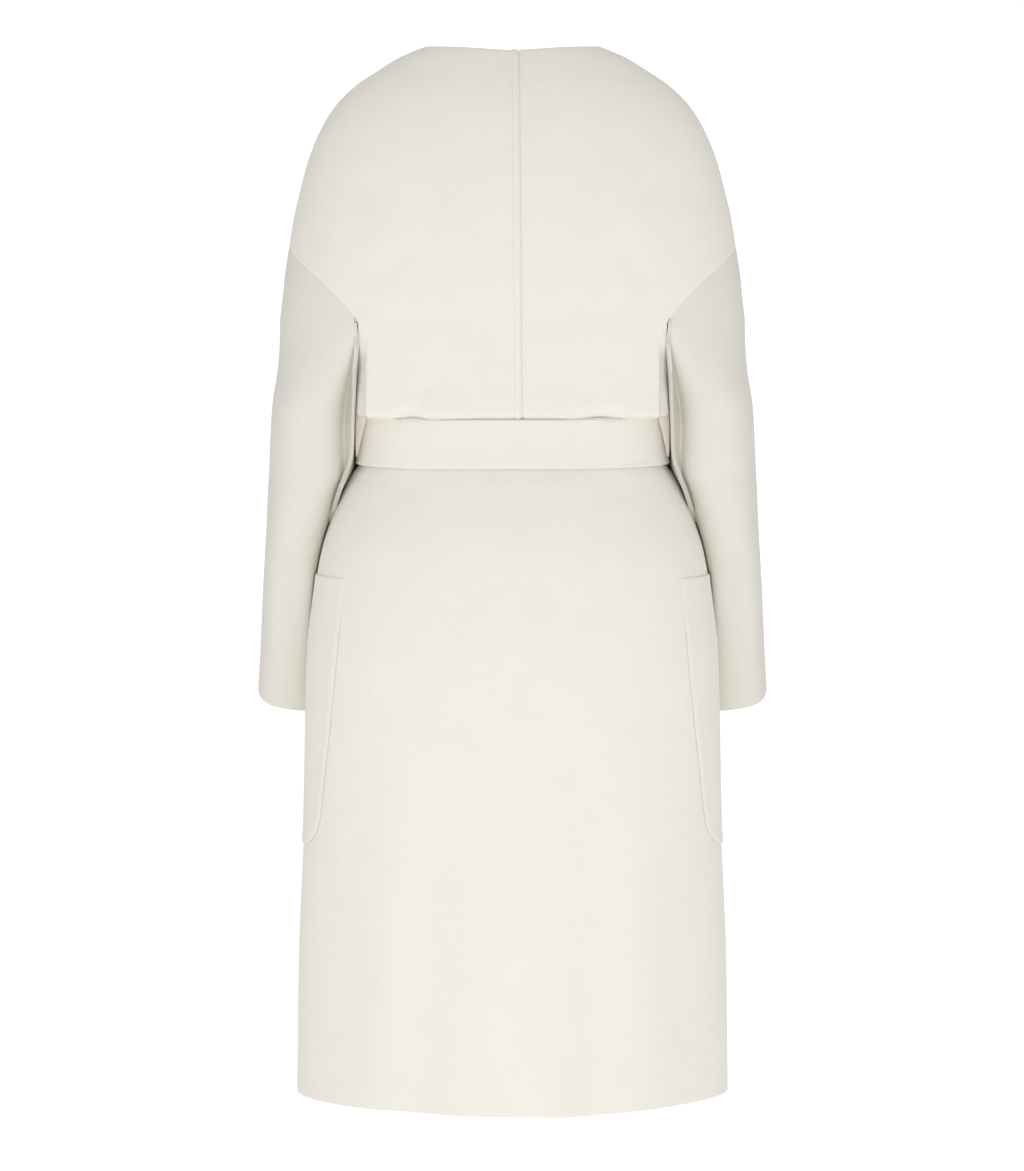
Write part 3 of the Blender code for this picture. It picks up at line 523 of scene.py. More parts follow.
def lines_across(before, cells, after):
    """A rule for a row's distances: close lines at both edges, even ones between."""
    def rule(length):
        squeeze = min(1.0, 0.7 * length / (before[-1] + after[-1]))
        first, last = np.array(before) * squeeze, length - np.array(after) * squeeze
        middle = np.linspace(first[-1], last[-1], cells + 1)
        return np.concatenate([first[:-1], middle, last[:-1][::-1]])
    return rule


def to_seam(cells):
    """A rule for the strip between a fold and the side seam."""
    return lambda length: np.linspace(0, length - INSET, cells + 1)[1:]


def sink(grid, normals, depth):
    """Moves a grid in along its normals."""
    return grid - normals * depth[..., None]


EDGE_LINES = [INSET, INSET + 0.8, INSET + 1.9, INSET + 3.4, INSET + 5.6]

# %% [markdown]
# ## Seams
#
# Where two thick pieces are sewn, both turn in and the seam lies in a groove.  The groove could
# be painted as a dark line, but a real one is darker only because light doesn't reach into it.
# So each seam is a line in space, and the cloth near it is pressed in.

# %% Seam lines and how the cloth sinks to them
BACK_SEAM_X_NECK, BACK_SEAM_X_WAIST = -7.0, -10.0


def back_seam_x(z):
    return BACK_SEAM_X_NECK + (BACK_SEAM_X_WAIST - BACK_SEAM_X_NECK) * z / BELT_TOP


def armhole_angle_z(place):
    """Angle and height of the armhole seam; place is 0 at its top, 1 behind and -1 in front."""
    row = ARMHOLE.at(np.asarray(place, float) * ARMHOLE_ENDS)
    return np.where(row["angle"] < 0, row["angle"] * FRONT_ARMHOLE_SPREAD, row["angle"]), row["z"]


def armhole_curve(side, count=700):
    place = np.linspace(1, -1, count)
    angle, z = armhole_angle_z(place)
    return wide(z, angle, side)


def underarm_ends():
    """The armhole seam's two low ends, on the left."""
    (back_angle, front_angle), z = armhole_angle_z([1.0, -1.0])
    return wide(z[0], back_angle), wide(z[1], front_angle)


def underarm_curve(side, count=300):
    back, front = underarm_ends()
    line = back + (front - back) * np.linspace(0, 1, count)[:, None]
    return line * [side, 1, 1]


def shoulder_curve(side):
    z = np.linspace(NECK, ARMHOLE_STEPS[0][1], 500)
    return wide(z, np.full_like(z, 0.01), side)


def side_curve(side):
    z = np.linspace(UNDERARM, HEM, 900)
    return body(z, np.full_like(z, 0.01), 0.0, side)


SEAMS = {side: np.vstack([armhole_curve(side), underarm_curve(side), shoulder_curve(side),
                          side_curve(side)]) for side in (1, -1)}
SEAM_SINK, SEAM_WIDTH = 0.35, 5.0


def distance_to(points, line):
    """Distance from each point to the nearest point of a line."""
    flat = points.reshape(-1, 3)
    best = np.empty(len(flat))
    for first in range(0, len(flat), 4000):
        part = flat[first:first + 4000]
        near = ((part[:, None, :] - line[None, :, :]) ** 2).sum(-1)
        best[first:first + 4000] = np.sqrt(near.min(axis=1))
    return best.reshape(points.shape[:-1])


def seam_sink(points, line, depth=SEAM_SINK, width=SEAM_WIDTH):
    near = np.clip(1 - distance_to(points, line) / width, 0, 1)
    return depth * near**2


SEWN = []                               # lines that hand stitches follow, filled in below
print("seam points:", sum(len(line) for line in SEAMS.values()))

# %% [markdown]
# ## The upper back
#
# Two pieces meet in a seam beside the middle.  In double-faced wool the seam is felled: the
# allowance is turned to one side and sewn down by hand, which leaves a soft band with a faint
# line along it.  The band is raised in the left piece's own points, so no extra strip is laid on.
# Below the arms the back turns sharply into the side, and there the grid goes on to the side seam.

# %% Upper back pieces
BLEND = 14.0             # height over which the wide ring gives way to the body ring
FELL_WIDTH = 7.6
FELL_RISE = 0.55
OPEN_LINES = [OPEN_INSET, OPEN_INSET + 0.8, OPEN_INSET + 1.9, 4.8, 7.0]
FELL_LINES = [OPEN_INSET, OPEN_INSET + 0.8, OPEN_INSET + 1.9, 4.8, 6.2, 6.9, 7.4, 7.9, 8.5, 9.4, 11.5]
FOLD_LINES = [0.0, 1.5, 3.0, 5.0, 7.0]
LEDGE_LINES = [0.0, 2.0, 5.0, 9.0, 13.0, 16.0, 18.0, 20.0, 22.0, 24.0, 26.0, 28.5, 32.0]
BACK_CELLS, SIDE_CELLS = 60, 16
LEDGE_EXTRA = len(LEDGE_LINES) - len(EDGE_LINES)


def armhole_edge(half, reach):
    """Heights and angles of a line beside the armhole seam, reach towards the body."""
    sign = 1 if half == "back" else -1
    place = sign * np.linspace(0, 1, 500)
    angle, z = armhole_angle_z(place)
    line = wide(z, np.where(angle == 0, sign * 0.01, angle))
    length = np.concatenate([[0], np.cumsum(np.linalg.norm(np.diff(line, axis=0), axis=1))])
    count = int(length[-1] / STEP)
    even = np.interp(np.linspace(0, length[-1], count + 1), length, place)
    angle, z = armhole_angle_z(even)
    line = wide(z, np.where(angle == 0, sign * 0.01, angle))
    inwards = np.cross(np.gradient(line, axis=0), line * [1.0, 1.0, 0])
    inwards /= np.linalg.norm(inwards, axis=1, keepdims=True)
    inwards[inwards[:, 2] < 0] *= -1
    moved = line + inwards * reach
    moved_z = np.minimum(moved[:, 2], line[:, 2] + reach)
    return moved_z, np.degrees(np.arctan2(moved[:, 1], moved[:, 0]))


BLOUSE_TOP, BLOUSE_END, BLOUSE_ROWS = -366.0, -386.0, 48
BLOUSE_FIRST = 20        # rows between the underarm and the blouse
# Path of the blouse at the side: height, distance out from the ring under the belt
BLOUSE = Table("z out", [
    (0, -366, 8.0), (1, -375, 8.5), (2, -383, 9.2), (3, -391, 9.6), (4, -400, 9.6),
    (5, -410, 9.5), (6, -419, 9.2), (7, -426.5, 8.2), (8, -424.5, 6.8), (9, -414, 6.2),
    (10, -403, 5.9), (11, -393, 5.7), (12, -386, 5.4), (13, -382.8, 3.6), (14, -383.2, 1.2),
    (15, -386, 0.0),
])
BLOUSE_JOIN = 2.5        # it grows out of the plain rows over this much of the path
BLOUSE_BACK, BLOUSE_BACK_FADE = 19.0, 8.0           # degrees
BLOUSE_RING, BLOUSE_RING_OUT = -370.0, 8.4         # behind, the blouse keeps this ring's corner
BLOUSE_FADE = {True: (16, 62), False: (14, 28)}     # over and under front: start, length, degrees


def low_rows():
    """Rows from just under the arm to the waist seam, close together over the blouse."""
    return np.concatenate([np.linspace(UNDERARM - INSET, BLOUSE_TOP, BLOUSE_FIRST)[:-1],
                           np.linspace(BLOUSE_TOP, BLOUSE_END, BLOUSE_ROWS),
                           np.linspace(BLOUSE_END, WAIST_SEAM + INSET, 7)[1:]])


def blouse_share(angle, over):
    """How much of the blouse there is at an angle: all of it beside the side seam."""
    start, fade = BLOUSE_FADE[over]
    return ease((angle + start + fade) / fade) * ease(1 - (angle - BLOUSE_BACK) / BLOUSE_BACK_FADE)


def with_blouse(low, angle, side, over):
    """Lets the rows come down over the belt and go back up behind it."""
    path = np.linspace(0, BLOUSE.key[-1], BLOUSE_ROWS)[:, None]
    rows = slice(BLOUSE_FIRST - 1, BLOUSE_FIRST - 1 + BLOUSE_ROWS)
    at = BLOUSE.at(path)
    folded = body(np.full_like(path, BELT_TOP - 4), angle[rows], at["out"], side)
    square = body(np.full_like(path, BLOUSE_RING), angle[rows], at["out"] - BLOUSE_RING_OUT, side)
    keep = (1 - ease((path - 7) / 5)) * ease(angle[rows] / 6)
    folded += (square - folded) * keep[..., None]
    folded[..., 2] = at["z"]
    share = blouse_share(angle[rows], over) * ease(path / BLOUSE_JOIN)
    low[rows] += (folded - low[rows]) * share[..., None]
    return low


def side_share(back, front):
    """Share of the underarm line at which the side seam starts."""
    return back[1] / (back[1] - front[1])


def upper_rows(half, start_x, side, lines):
    """Rows above the underarm, from an edge at start_x round to the shoulder and armhole."""
    sign = 1 if half == "back" else -1
    arm_z, arm_angle = armhole_edge(half, INSET)
    above = heights(WIDE, NECK - 0.45, arm_z[0], STEP)[:-1]
    z = np.concatenate([above, arm_z])
    end = np.concatenate([np.zeros(len(above)),
                          arm_angle - sign * step_angle(WIDE, arm_z, INSET)])
    start = angle_at_x(WIDE.at(z), start_x(z), half)
    return wide(z[:, None], angles_along(WIDE, z, start, end, lines), side)


def lower_angles(half, z, start_x, before, cells):
    """Angles of rows below the underarm: from an edge to the fold, and on to the side seam."""
    section = BODY.at(z)
    start = angle_at_x(section, start_x(z), half)
    fold = angle_at_x(section, FOLD_EDGE * section["side"], half)
    depth = section["back"] - section["middle"]
    crisp = np.degrees(np.arctan2(CORNER_DEPTH * depth, CORNER_EDGE * section["side"]))
    fold = fold + (crisp - fold) * section["corner"] * (half == "back")
    after = LEDGE_LINES if half == "back" else FOLD_LINES
    main = angles_along(BODY, z, start, fold, lines_across(before, cells, after))
    strip = angles_along(BODY, z, fold, np.zeros_like(z), to_seam(SIDE_CELLS))
    return np.concatenate([main, strip], axis=1)


def joined(half, upper, z, low, side):
    """Lets the lower rows grow out of the last upper row and the underarm line."""
    columns = upper.shape[1]
    share = ease((UNDERARM - z) / BLEND)[:, None, None]
    held = upper[-1] + [0, 0, 1] * (z[:, None, None] - upper[-1][None, :, 2:3])
    low[:, :columns] = held + (low[:, :columns] - held) * share
    back, front = underarm_ends()
    step = INSET / abs(back[1] - front[1]) * (1 if half == "back" else -1)
    seam = back + (front - back) * (side_share(back, front) - step)
    edge = upper[-1, -1] * [side, 1, 1]
    spread = edge + (seam - edge) * np.linspace(0, 1, SIDE_CELLS + 1)[1:, None]
    spread = spread * [side, 1, 0] + [0, 0, 1] * z[:, None, None]
    low[:, columns:] = spread + (low[:, columns:] - spread) * share
    top = np.concatenate([upper, np.repeat(upper[:, -1:], SIDE_CELLS, axis=1)], axis=1)
    present = np.ones((len(top) + len(low), top.shape[1]), bool)
    present[:len(top), -SIDE_CELLS:] = False
    return np.concatenate([top, low]), present


def upper_back(name, side):
    before = FELL_LINES if side > 0 else OPEN_LINES

    def edge_x(z):
        return side * back_seam_x(z)

    upper = upper_rows("back", edge_x, side,
                       lines_across(before, BACK_CELLS + LEDGE_EXTRA, EDGE_LINES))
    z = low_rows()
    angle = lower_angles("back", np.maximum(z, BLOUSE_RING), edge_x, before, BACK_CELLS)
    low = with_blouse(body(z[:, None], angle, 0.0, side), angle, side, side < 0)
    grid, present = joined("back", upper, z, low, side)
    normals = grid_normals(grid, present, flip=side < 0)
    depth = seam_sink(grid, SEAMS[side])
    across = (grid[..., 0] - back_seam_x(grid[..., 2])) * side
    depth += 1.5 * np.clip(1 - across / 3.6, 0, 1) ** 2
    if side > 0:
        depth -= FELL_RISE * ease(across / 3.0) * (1 - ease((across - FELL_WIDTH + 0.5) / 0.9))
        depth += 0.5 * np.exp(-((across - FELL_WIDTH - 0.3) / 0.6) ** 2)
    sunk = sink(grid, normals, depth)
    if side > 0:
        SEWN.append(sunk[3:, 4])
    return cloth(name, sunk, present, flip=side < 0, normals=normals)


back_left = upper_back("coat_back_upper_left", 1)
back_right = upper_back("coat_back_upper_right", -1)

# %% [markdown]
# ## The skirt's back
#
# Below the belt the back is one wide piece from side seam to side seam.  Its troughs deepen
# towards the hem, because the cloth has more room there than the hips need.  The hem is the
# round rim of the wall, let down by a millimetre or so here and there, as a real hem is.

# %% Skirt back
SKIRT_CELLS = 120
HEM_WAVES = [(0.021, 0.4, 0.9), (0.047, 1.7, 0.5)]      # per millimetre across, phase, height
HEM_REACH = 110.0


def hem_drop(points):
    """Lowers a grid near the hem by a small uneven wave."""
    x, z = points[..., 0], points[..., 2]
    wave = sum(height * np.sin(rate * x + phase) for rate, phase, height in HEM_WAVES)
    points[..., 2] += wave * ease(1 - (z - HEM) / HEM_REACH) - 0.4
    return points


def skirt_back(name):
    z = heights(BODY, WAIST_SEAM - INSET, HEM + RIM, STEP)
    flat = np.zeros_like(z)
    angle = angles_along(BODY, z, flat + 180.0, flat,
                         lines_across(EDGE_LINES, SKIRT_CELLS, EDGE_LINES))
    grid = hem_drop(body(z[:, None], angle))
    normals = grid_normals(grid)
    depth = seam_sink(grid, np.vstack([side_curve(1), side_curve(-1)]))
    return cloth(name, sink(grid, normals, depth), normals=normals)


skirt = skirt_back("coat_back_skirt")

# %% [markdown]
# ## The fronts
#
# Each front is a long shape from shoulder to hem, joined at the waist under the belt.  Both are
# cut alike: the right one is the left one mirrored and laid over it.  The under front steps in by
# one cloth and a little air where they lap.  Beside the belt's ends the fronts blouse: they come
# down over the belt, turn under and go back up before the belt holds them.  That is a fold in
# the grid's own rows, which follow a path out, down and back.

# %% Front pieces
FREE_LINES = [RIM, RIM + 1.0, RIM + 2.4, RIM + 4.4, RIM + 7.0]
FRONT_CELLS = 84
LAP_START, LAP_BLEND = 42.0, 34.0
LAP_RISE, LAP_RISE_REACH = 0.8, 16.0


def lap_depth(grid, side, over):
    """The over front's free edge stands up a little and the under front lies a layer lower."""
    edge_x = FRONT_EDGE.at(grid[..., 2])["x"]
    if over:
        rise = LAP_RISE * ease(1 - (side * grid[..., 0] + edge_x) / LAP_RISE_REACH)
        return -np.where(grid[..., 1] < 0, rise, 0.0)
    return LAP_STEP * ease((edge_x + LAP_START - side * grid[..., 0]) / LAP_BLEND)


def free_edge_x(z):
    return -FRONT_EDGE.at(z)["x"]


def front_upper(name, side, over):
    upper = upper_rows("front", free_edge_x, side,
                       lines_across(FREE_LINES, FRONT_CELLS, EDGE_LINES))
    z = low_rows()
    angle = lower_angles("front", z, free_edge_x, FREE_LINES, FRONT_CELLS)
    low = with_blouse(body(z[:, None], angle, 0.0, side), angle, side, over)
    grid, present = joined("front", upper, z, low, side)
    normals = grid_normals(grid, present, flip=side > 0)
    depth = seam_sink(grid, SEAMS[side]) + lap_depth(grid, side, over)
    return cloth(name, sink(grid, normals, depth), present, flip=side > 0, normals=normals)


def front_skirt(name, side, over):
    z = heights(BODY, WAIST_SEAM - INSET, HEM + RIM, STEP)
    angle = lower_angles("front", z, free_edge_x, FREE_LINES, FRONT_CELLS)
    grid = hem_drop(body(z[:, None], angle, 0.0, side))
    normals = grid_normals(grid, flip=side > 0)
    depth = seam_sink(grid, side_curve(side)) + lap_depth(grid, side, over)
    return cloth(name, sink(grid, normals, depth), flip=side > 0, normals=normals)


front_upper_left = front_upper("coat_front_upper_left", 1, over=False)
front_upper_right = front_upper("coat_front_upper_right", -1, over=True)
front_skirt_left = front_skirt("coat_front_skirt_left", 1, over=False)
front_skirt_right = front_skirt("coat_front_skirt_right", -1, over=True)

# %% [markdown]
# ## The sleeves
#
# A dropped sleeve has a shallow cap, so it hangs almost straight from its seam.  Its first rows
# stay on the wide ring that the shoulder belongs to; then they turn to the sleeve's own rings,
# which lean forward with the forearm.  Under the arm the spare cloth makes one sharp ridge with
# a deep valley beside it, and it runs out near the elbow.

# %% Sleeves
CAP_END, CAP_BLEND, CAP_OUTSIDE = -312.0, 95.0, 60.0
CUFF = -681.0
CUFF_RISE = 0.13
CREST_ANGLE = 133.0       # the fold's crest, where the armhole ends
CREST_DEPTH = 0.84        # it is this share of the ring's depth behind the ring's middle
CREST_OUTWARD, CREST_INWARD = 4.2, 17.0      # its spread to each side, degrees
VALLEY_ANGLE, VALLEY_DEPTH = 123.0, 5.0
VALLEY_OUTWARD, VALLEY_INWARD = 12.0, 6.0
SWELL_ANGLE, SWELL_SPREAD = 214.0, 20.0      # the wall in front, which fills out to the body
FRONT_FOLD_SHARE = 0.35
FOLD_RUN, FOLD_END, FOLD_FADE = 30.0, -505.0, 60.0
SLEEVE_OUTSIDE, SLEEVE_INSIDE, CAP_ROWS, SLEEVE_ROWS = 116, 76, 24, 84
CLOSER, CLOSER_ANGLE, CLOSER_SPREAD = 4.0, 130.0, 9.0       # columns crowd at the fold
ROUND_THE_ARM = 1.05     # millimetres for a degree round a sleeve
# Standing off what hangs beside it: how far, from where below the seam, and over what run
SLEEVE_GAP, CLEAR_BELOW, CLEAR_RUN, CLEAR_REACH = 1.4, 3.0, 15.0, 222.0
CLEAR_FROM, CLEAR_SOFTENED = 0.3, 4     # metres out where the rays start; rounds of softening
# Creases of the sleeves; across is measured round the arm, 0 outside, back positive
SLEEVE_CREASES = {
    1: [(64, -292, 92, -372, 12, 1.3, 4), (24, -228, 40, -330, 22, 1.2, -6),
        (-56, -372, -112, -436, 12, 2.4, 4), (-50, -424, -110, -468, 11, 2.6, -3),
        (-58, -484, -112, -512, 12, 2.0, 3), (-36, -300, -84, -372, 14, 1.6, 5),
        (18, -430, 66, -500, 16, 1.1, -5), (30, -560, 80, -640, 18, 0.9, 5),
        (-30, -570, -84, -634, 15, 1.3, 4)],
    -1: [(60, -296, 90, -366, 12, 1.2, 4), (20, -236, 42, -336, 22, 1.2, -6),
         (-52, -380, -110, -440, 12, 2.2, 4), (-54, -430, -108, -478, 11, 2.4, -3),
         (-60, -492, -110, -516, 12, 1.8, 3), (-34, -306, -86, -366, 14, 1.8, 5),
         (22, -436, 64, -510, 16, 1.0, -5), (26, -572, 76, -636, 18, 1.0, 5),
         (-34, -580, -80, -640, 15, 1.2, 4)],
}


def limb_xy(z, angle):
    limb = SLEEVE.at(z)
    half, centre = (limb["outer"] - limb["inner"]) / 2, (limb["outer"] + limb["inner"]) / 2
    power = limb["power"]

    def reach_at(cosine, sine):
        total = np.abs(cosine / half) ** power + np.abs(sine / limb["depth"]) ** power
        return total ** (-1 / power)

    cosine, sine = np.cos(np.radians(angle)), np.sin(np.radians(angle))
    reach = reach_at(cosine, sine)
    turned = (angle + 180) % 360 - 180
    fade = ease((UNDERARM - z) / FOLD_RUN) * ease((z - FOLD_END) / FOLD_FADE)
    fade = fade * np.where(turned < 0, FRONT_FOLD_SHARE, 1.0)
    past = np.abs(turned) - VALLEY_ANGLE
    spread = np.where(past < 0, VALLEY_OUTWARD, VALLEY_INWARD)
    reach = reach - fade * VALLEY_DEPTH * np.exp(-((past / spread) ** 2))
    beyond = (angle % 360 - SWELL_ANGLE) / SWELL_SPREAD
    reach = reach + limb["swell"] * np.exp(-(beyond**2))
    crest_cosine = math.cos(math.radians(CREST_ANGLE))
    crest_sine = math.sin(math.radians(CREST_ANGLE))
    crest = reach_at(crest_cosine, crest_sine)
    past = np.abs(turned) - CREST_ANGLE
    spread = np.where(past < 0, CREST_OUTWARD, CREST_INWARD)
    lift = fade * np.exp(-((past / spread) ** 2))
    x = centre + reach * cosine + lift * (limb["crest"] - centre - crest * crest_cosine)
    up = lift * (CREST_DEPTH * limb["depth"] - crest * crest_sine)
    return x, limb["middle"] + reach * sine + up * np.sign(turned), limb


def limb_angles(start, end, count):
    """Angles evenly spaced along the sleeve's ring at the elbow."""
    fine = np.linspace(start, end, 800)
    x, y, _ = limb_xy(np.full_like(fine, -400.0), fine)
    turned = np.abs((fine[1:] + 180) % 360 - 180)
    crowd = 1 + CLOSER * np.exp(-(((turned - CLOSER_ANGLE) / CLOSER_SPREAD) ** 2))
    length = np.concatenate([[0], np.cumsum(np.hypot(np.diff(x), np.diff(y)) * crowd)])
    return np.interp(np.linspace(0, length[-1], count), length, fine)


def angles_above(ring_angle, back_end, front_end):
    """Polar angles, at the underarm's height, straight above places on the sleeve's ring."""
    section = WIDE.at(UNDERARM)
    calm = np.where(ring_angle < 0, -1, 1) * np.maximum(np.abs(ring_angle), CAP_OUTSIDE)
    result = np.empty_like(ring_angle)
    for half, sign, end in (("back", 1, back_end), ("front", -1, front_end)):
        ring = np.append(calm, sign * CREST_ANGLE)
        x = limb_xy(np.full_like(ring, UNDERARM), ring)[0]
        found = angle_at_x(section, x, half)
        found = found[:-1] * end / found[-1]
        found = found * np.minimum(np.abs(ring_angle) / CAP_OUTSIDE, 1)
        here = ring_angle * sign >= 0
        result[here] = found[here]
    return result


def clear_of_body(grid, side):
    """Moves a sleeve's points out sideways until they stand off what hangs beside them."""
    trees = [BVHTree.FromPolygons([v.co for v in piece.data.vertices],
                                  [p.vertices for p in piece.data.polygons])
             for piece in BESIDE_SLEEVE[side]]
    wanted = np.full(grid.shape[:2], -np.inf)
    for row, column in np.argwhere((grid[..., 2] < UNDERARM - CLEAR_BELOW)
                                   & (grid[..., 0] < CLEAR_REACH)):
        _, y, z = grid[row, column] / 1000
        for tree in trees:
            hit = tree.ray_cast(Vector((side * CLEAR_FROM, y, z)), Vector((-side, 0, 0)))[0]
            if hit is not None:
                wanted[row, column] = max(wanted[row, column], side * hit.x * 1000)
    gap = SLEEVE_GAP * ease((UNDERARM - CLEAR_BELOW - grid[..., 2]) / CLEAR_RUN)
    lift = np.maximum(wanted + gap - grid[..., 0], 0)
    soft = lift
    for _ in range(CLEAR_SOFTENED):
        soft = (soft + np.roll(soft, 1, 1) + np.roll(soft, -1, 1)) / 3
        soft[1:-1] = (soft[1:-1] + soft[2:] + soft[:-2]) / 3
    soft = soft * ease((UNDERARM - grid[..., 2]) / CLEAR_RUN)
    moved = grid.copy()
    moved[..., 0] += np.maximum(lift, soft)
    print("side", side, "cleared points:", int((lift > 0).sum()), "most:", round(lift.max(), 1))
    return moved


def sleeve(name, side):
    place = np.linspace(1, -1, 900)
    line = armhole_curve(1, 900)
    length = np.concatenate([[0], np.cumsum(np.linalg.norm(np.diff(line, axis=0), axis=1))])
    place = np.interp(np.linspace(0, length[-1], SLEEVE_OUTSIDE + 1), length, place)
    top_angle, top_z = armhole_angle_z(place)
    across = np.gradient(line, axis=0)
    slope = np.abs(across[:, 2]) / np.hypot(across[:, 0], across[:, 1])
    slope = np.interp(np.linspace(0, length[-1], SLEEVE_OUTSIDE + 1), length, slope)
    first_z = top_z - INSET * np.sqrt(1 + slope**2)
    outside_angle = limb_angles(CREST_ANGLE, -CREST_ANGLE, 401)
    outside_angle = np.interp((1 - place) / 2, np.linspace(0, 1, 401), outside_angle)
    low_angle = angles_above(outside_angle, top_angle[0], top_angle[-1])
    inside_angle = limb_angles(-CREST_ANGLE, CREST_ANGLE - 360, SLEEVE_INSIDE + 1)[1:-1]
    back, front_end = underarm_ends()
    inside_share = np.linspace(0, 1, SLEEVE_INSIDE + 1)[1:-1]
    inside_start = front_end + (back - front_end) * inside_share[:, None]
    first_z = np.concatenate([first_z, np.full(len(inside_share), UNDERARM - INSET)])
    limb_angle = np.concatenate([outside_angle, inside_angle])

    cap = first_z + (CAP_END - first_z) * np.linspace(0, 1, CAP_ROWS + 1)[:, None]
    below = np.linspace(CAP_END, CUFF + RIM, SLEEVE_ROWS + 1)[1:, None] + 0 * first_z
    z = np.concatenate([cap, below])
    count = len(top_angle)
    drop = np.clip((top_z - z[:, :count]) / np.maximum(top_z - UNDERARM, 1.0), 0, 1)
    on_wide = wide(np.maximum(z[:, :count], UNDERARM), top_angle + (low_angle - top_angle) * drop)
    inside = np.broadcast_to(inside_start, (len(z),) + inside_start.shape)
    start = np.concatenate([on_wide, inside], axis=1)
    start = start * [1, 1, 0] + z[..., None] * [0, 0, 1]
    x, y, limb = limb_xy(np.minimum(z, UNDERARM), limb_angle)
    lean = np.tan(np.radians(limb["lean"]))
    rise = CUFF_RISE * limb["lean"] / 15.0
    own_z = z - (y - limb["middle"]) * lean + (x - (limb["outer"] + limb["inner"]) / 2) * rise
    own = np.stack([x, y, own_z], -1)
    share = np.where(z < UNDERARM, ease((UNDERARM - z) / CAP_BLEND), 0.0)[..., None]
    grid = start + (own - start) * share

    normals = grid_normals(grid, around=True)
    turned = (limb_angle + 180) % 360 - 180
    depth = crease_depth(turned * ROUND_THE_ARM, z, SLEEVE_CREASES[side])
    depth *= ease((first_z - z) / 20)
    line = np.vstack([armhole_curve(1), underarm_curve(1)])
    depth += seam_sink(grid, line)
    depth += 0.35 * np.exp(-((z - CUFF - 3.4) / 1.0) ** 2)
    grid = clear_of_body(sink(grid, normals, depth), side) * [side, 1, 1]
    return cloth(name, grid, around=True, flip=side < 0, normals=normals * [side, 1, 1])


print("sleeve grid:", SLEEVE_OUTSIDE + SLEEVE_INSIDE, "round,", CAP_ROWS + SLEEVE_ROWS, "down")

# %% [markdown]
# ## Patch pockets
#
# A patch pocket lies on the skirt, so it is made from the skirt's own points, moved out.  Its
# folded edge is two cloths thick and its sewn sides are pulled down tight, which leaves a plump
# ridge all round; the mouth stands off a little.

# %% Pockets
POCKET_TOP, POCKET_BOTTOM = -548.0, -832.0
POCKET_WIDTH, POCKET_CORNER = 196.0, 34.0
POCKET_BACK_X_TOP, POCKET_BACK_X_BOTTOM, POCKET_BACK_BEND = 174.0, 203.0, 1.2
POCKET_STEP, POCKET_THICK = 1.6, 1.35
POCKET_PRESSED = 1.2     # behind, the top is pressed almost flush with the skirt
POCKET_RIDGE, MOUTH_STANDS_OFF = 0.5, 1.2
POCKET_CELLS = 34
POCKET_LINES = [0.0, 1.0, 2.2, 3.6, 5.4, 7.6]


def pocket(name, side):
    reach = POCKET_CORNER - RIM
    turn = np.radians(np.linspace(0, 90, 15))[1:]
    straight = np.linspace(POCKET_TOP - RIM, POCKET_BOTTOM + POCKET_CORNER, 56)
    straight = np.concatenate([[straight[0], straight[0] - 1.2, straight[0] - 2.8], straight[1:]])
    z = np.concatenate([straight, POCKET_BOTTOM + POCKET_CORNER - reach * np.sin(turn)])
    inset = RIM + np.concatenate([np.zeros(len(straight)), reach * (1 - np.cos(turn))])
    run = np.clip((POCKET_TOP - z) / (POCKET_TOP - POCKET_BOTTOM), 0, 1)
    back_x = POCKET_BACK_X_TOP + (POCKET_BACK_X_BOTTOM - POCKET_BACK_X_TOP) * run**POCKET_BACK_BEND
    start = angle_at_x(BODY.at(z), back_x, "back")
    across = lines_across(POCKET_LINES, POCKET_CELLS, POCKET_LINES)
    angle = []
    for row_z, row_start, row_inset in zip(z, start, inset):
        lines = row_inset + across(POCKET_WIDTH - 2 * row_inset)
        angle.append(angles_along(BODY, [row_z], [row_start], [row_start - 120.0],
                                  lambda length: lines)[0])
    angle = np.array(angle)
    flat = body(z[:, None], angle, POCKET_STEP, side)
    sewn = np.vstack([flat[:, 0], flat[-1], flat[::-1, -1]])
    fine = np.linspace(0, len(sewn) - 1, 4 * len(sewn))
    sewn = np.stack([np.interp(fine, np.arange(len(sewn)), sewn[:, n]) for n in range(3)], -1)
    near = distance_to(flat, sewn)
    fall = POCKET_TOP - z[:, None]
    out = POCKET_STEP + POCKET_RIDGE * np.exp(-((near - 5.0) / 2.6) ** 2) * ease((fall - 20) / 60)
    out = out - POCKET_PRESSED * (1 - ease(fall / 60)) * ease((angle + 16) / 12)
    middle = 1 - np.abs(np.linspace(-1, 1, angle.shape[1])) ** 3
    out = out + MOUTH_STANDS_OFF * (1 - ease(fall / 70)) * middle
    out = out + 0.3 * np.exp(-((fall - 4.0) / 3.0) ** 2) - 0.3 * np.exp(-((fall - 32) / 1.2) ** 2)
    grid = body(z[:, None], angle, out, side)
    SEWN.append(np.vstack([grid[2:-5, 4], grid[-5, 4:-4], grid[2:-5, -5][::-1]]))
    return cloth(name, grid, flip=side < 0, thick=POCKET_THICK)


pocket_left = pocket("coat_pocket_left", 1)
pocket_right = pocket("coat_pocket_right", -1)

# %% [markdown]
# ## The belt
#
# The belt is a tube of cloth pressed flat: two layers with folded edges.  It is one closed loop
# whose section is a thin rounded bar.  It gets narrower where it runs into the knot, and there
# the cloth gathers into three soft pleats.

# %% Belt round the waist
BELT_GAP, BELT_THICK, BELT_GRIP = 1.0, 4.0, 4.0
BELT_COLUMNS = 300
KNOT_X = 16.0
KNOT_PULL = 36.0         # the belt is drawn together this near the knot


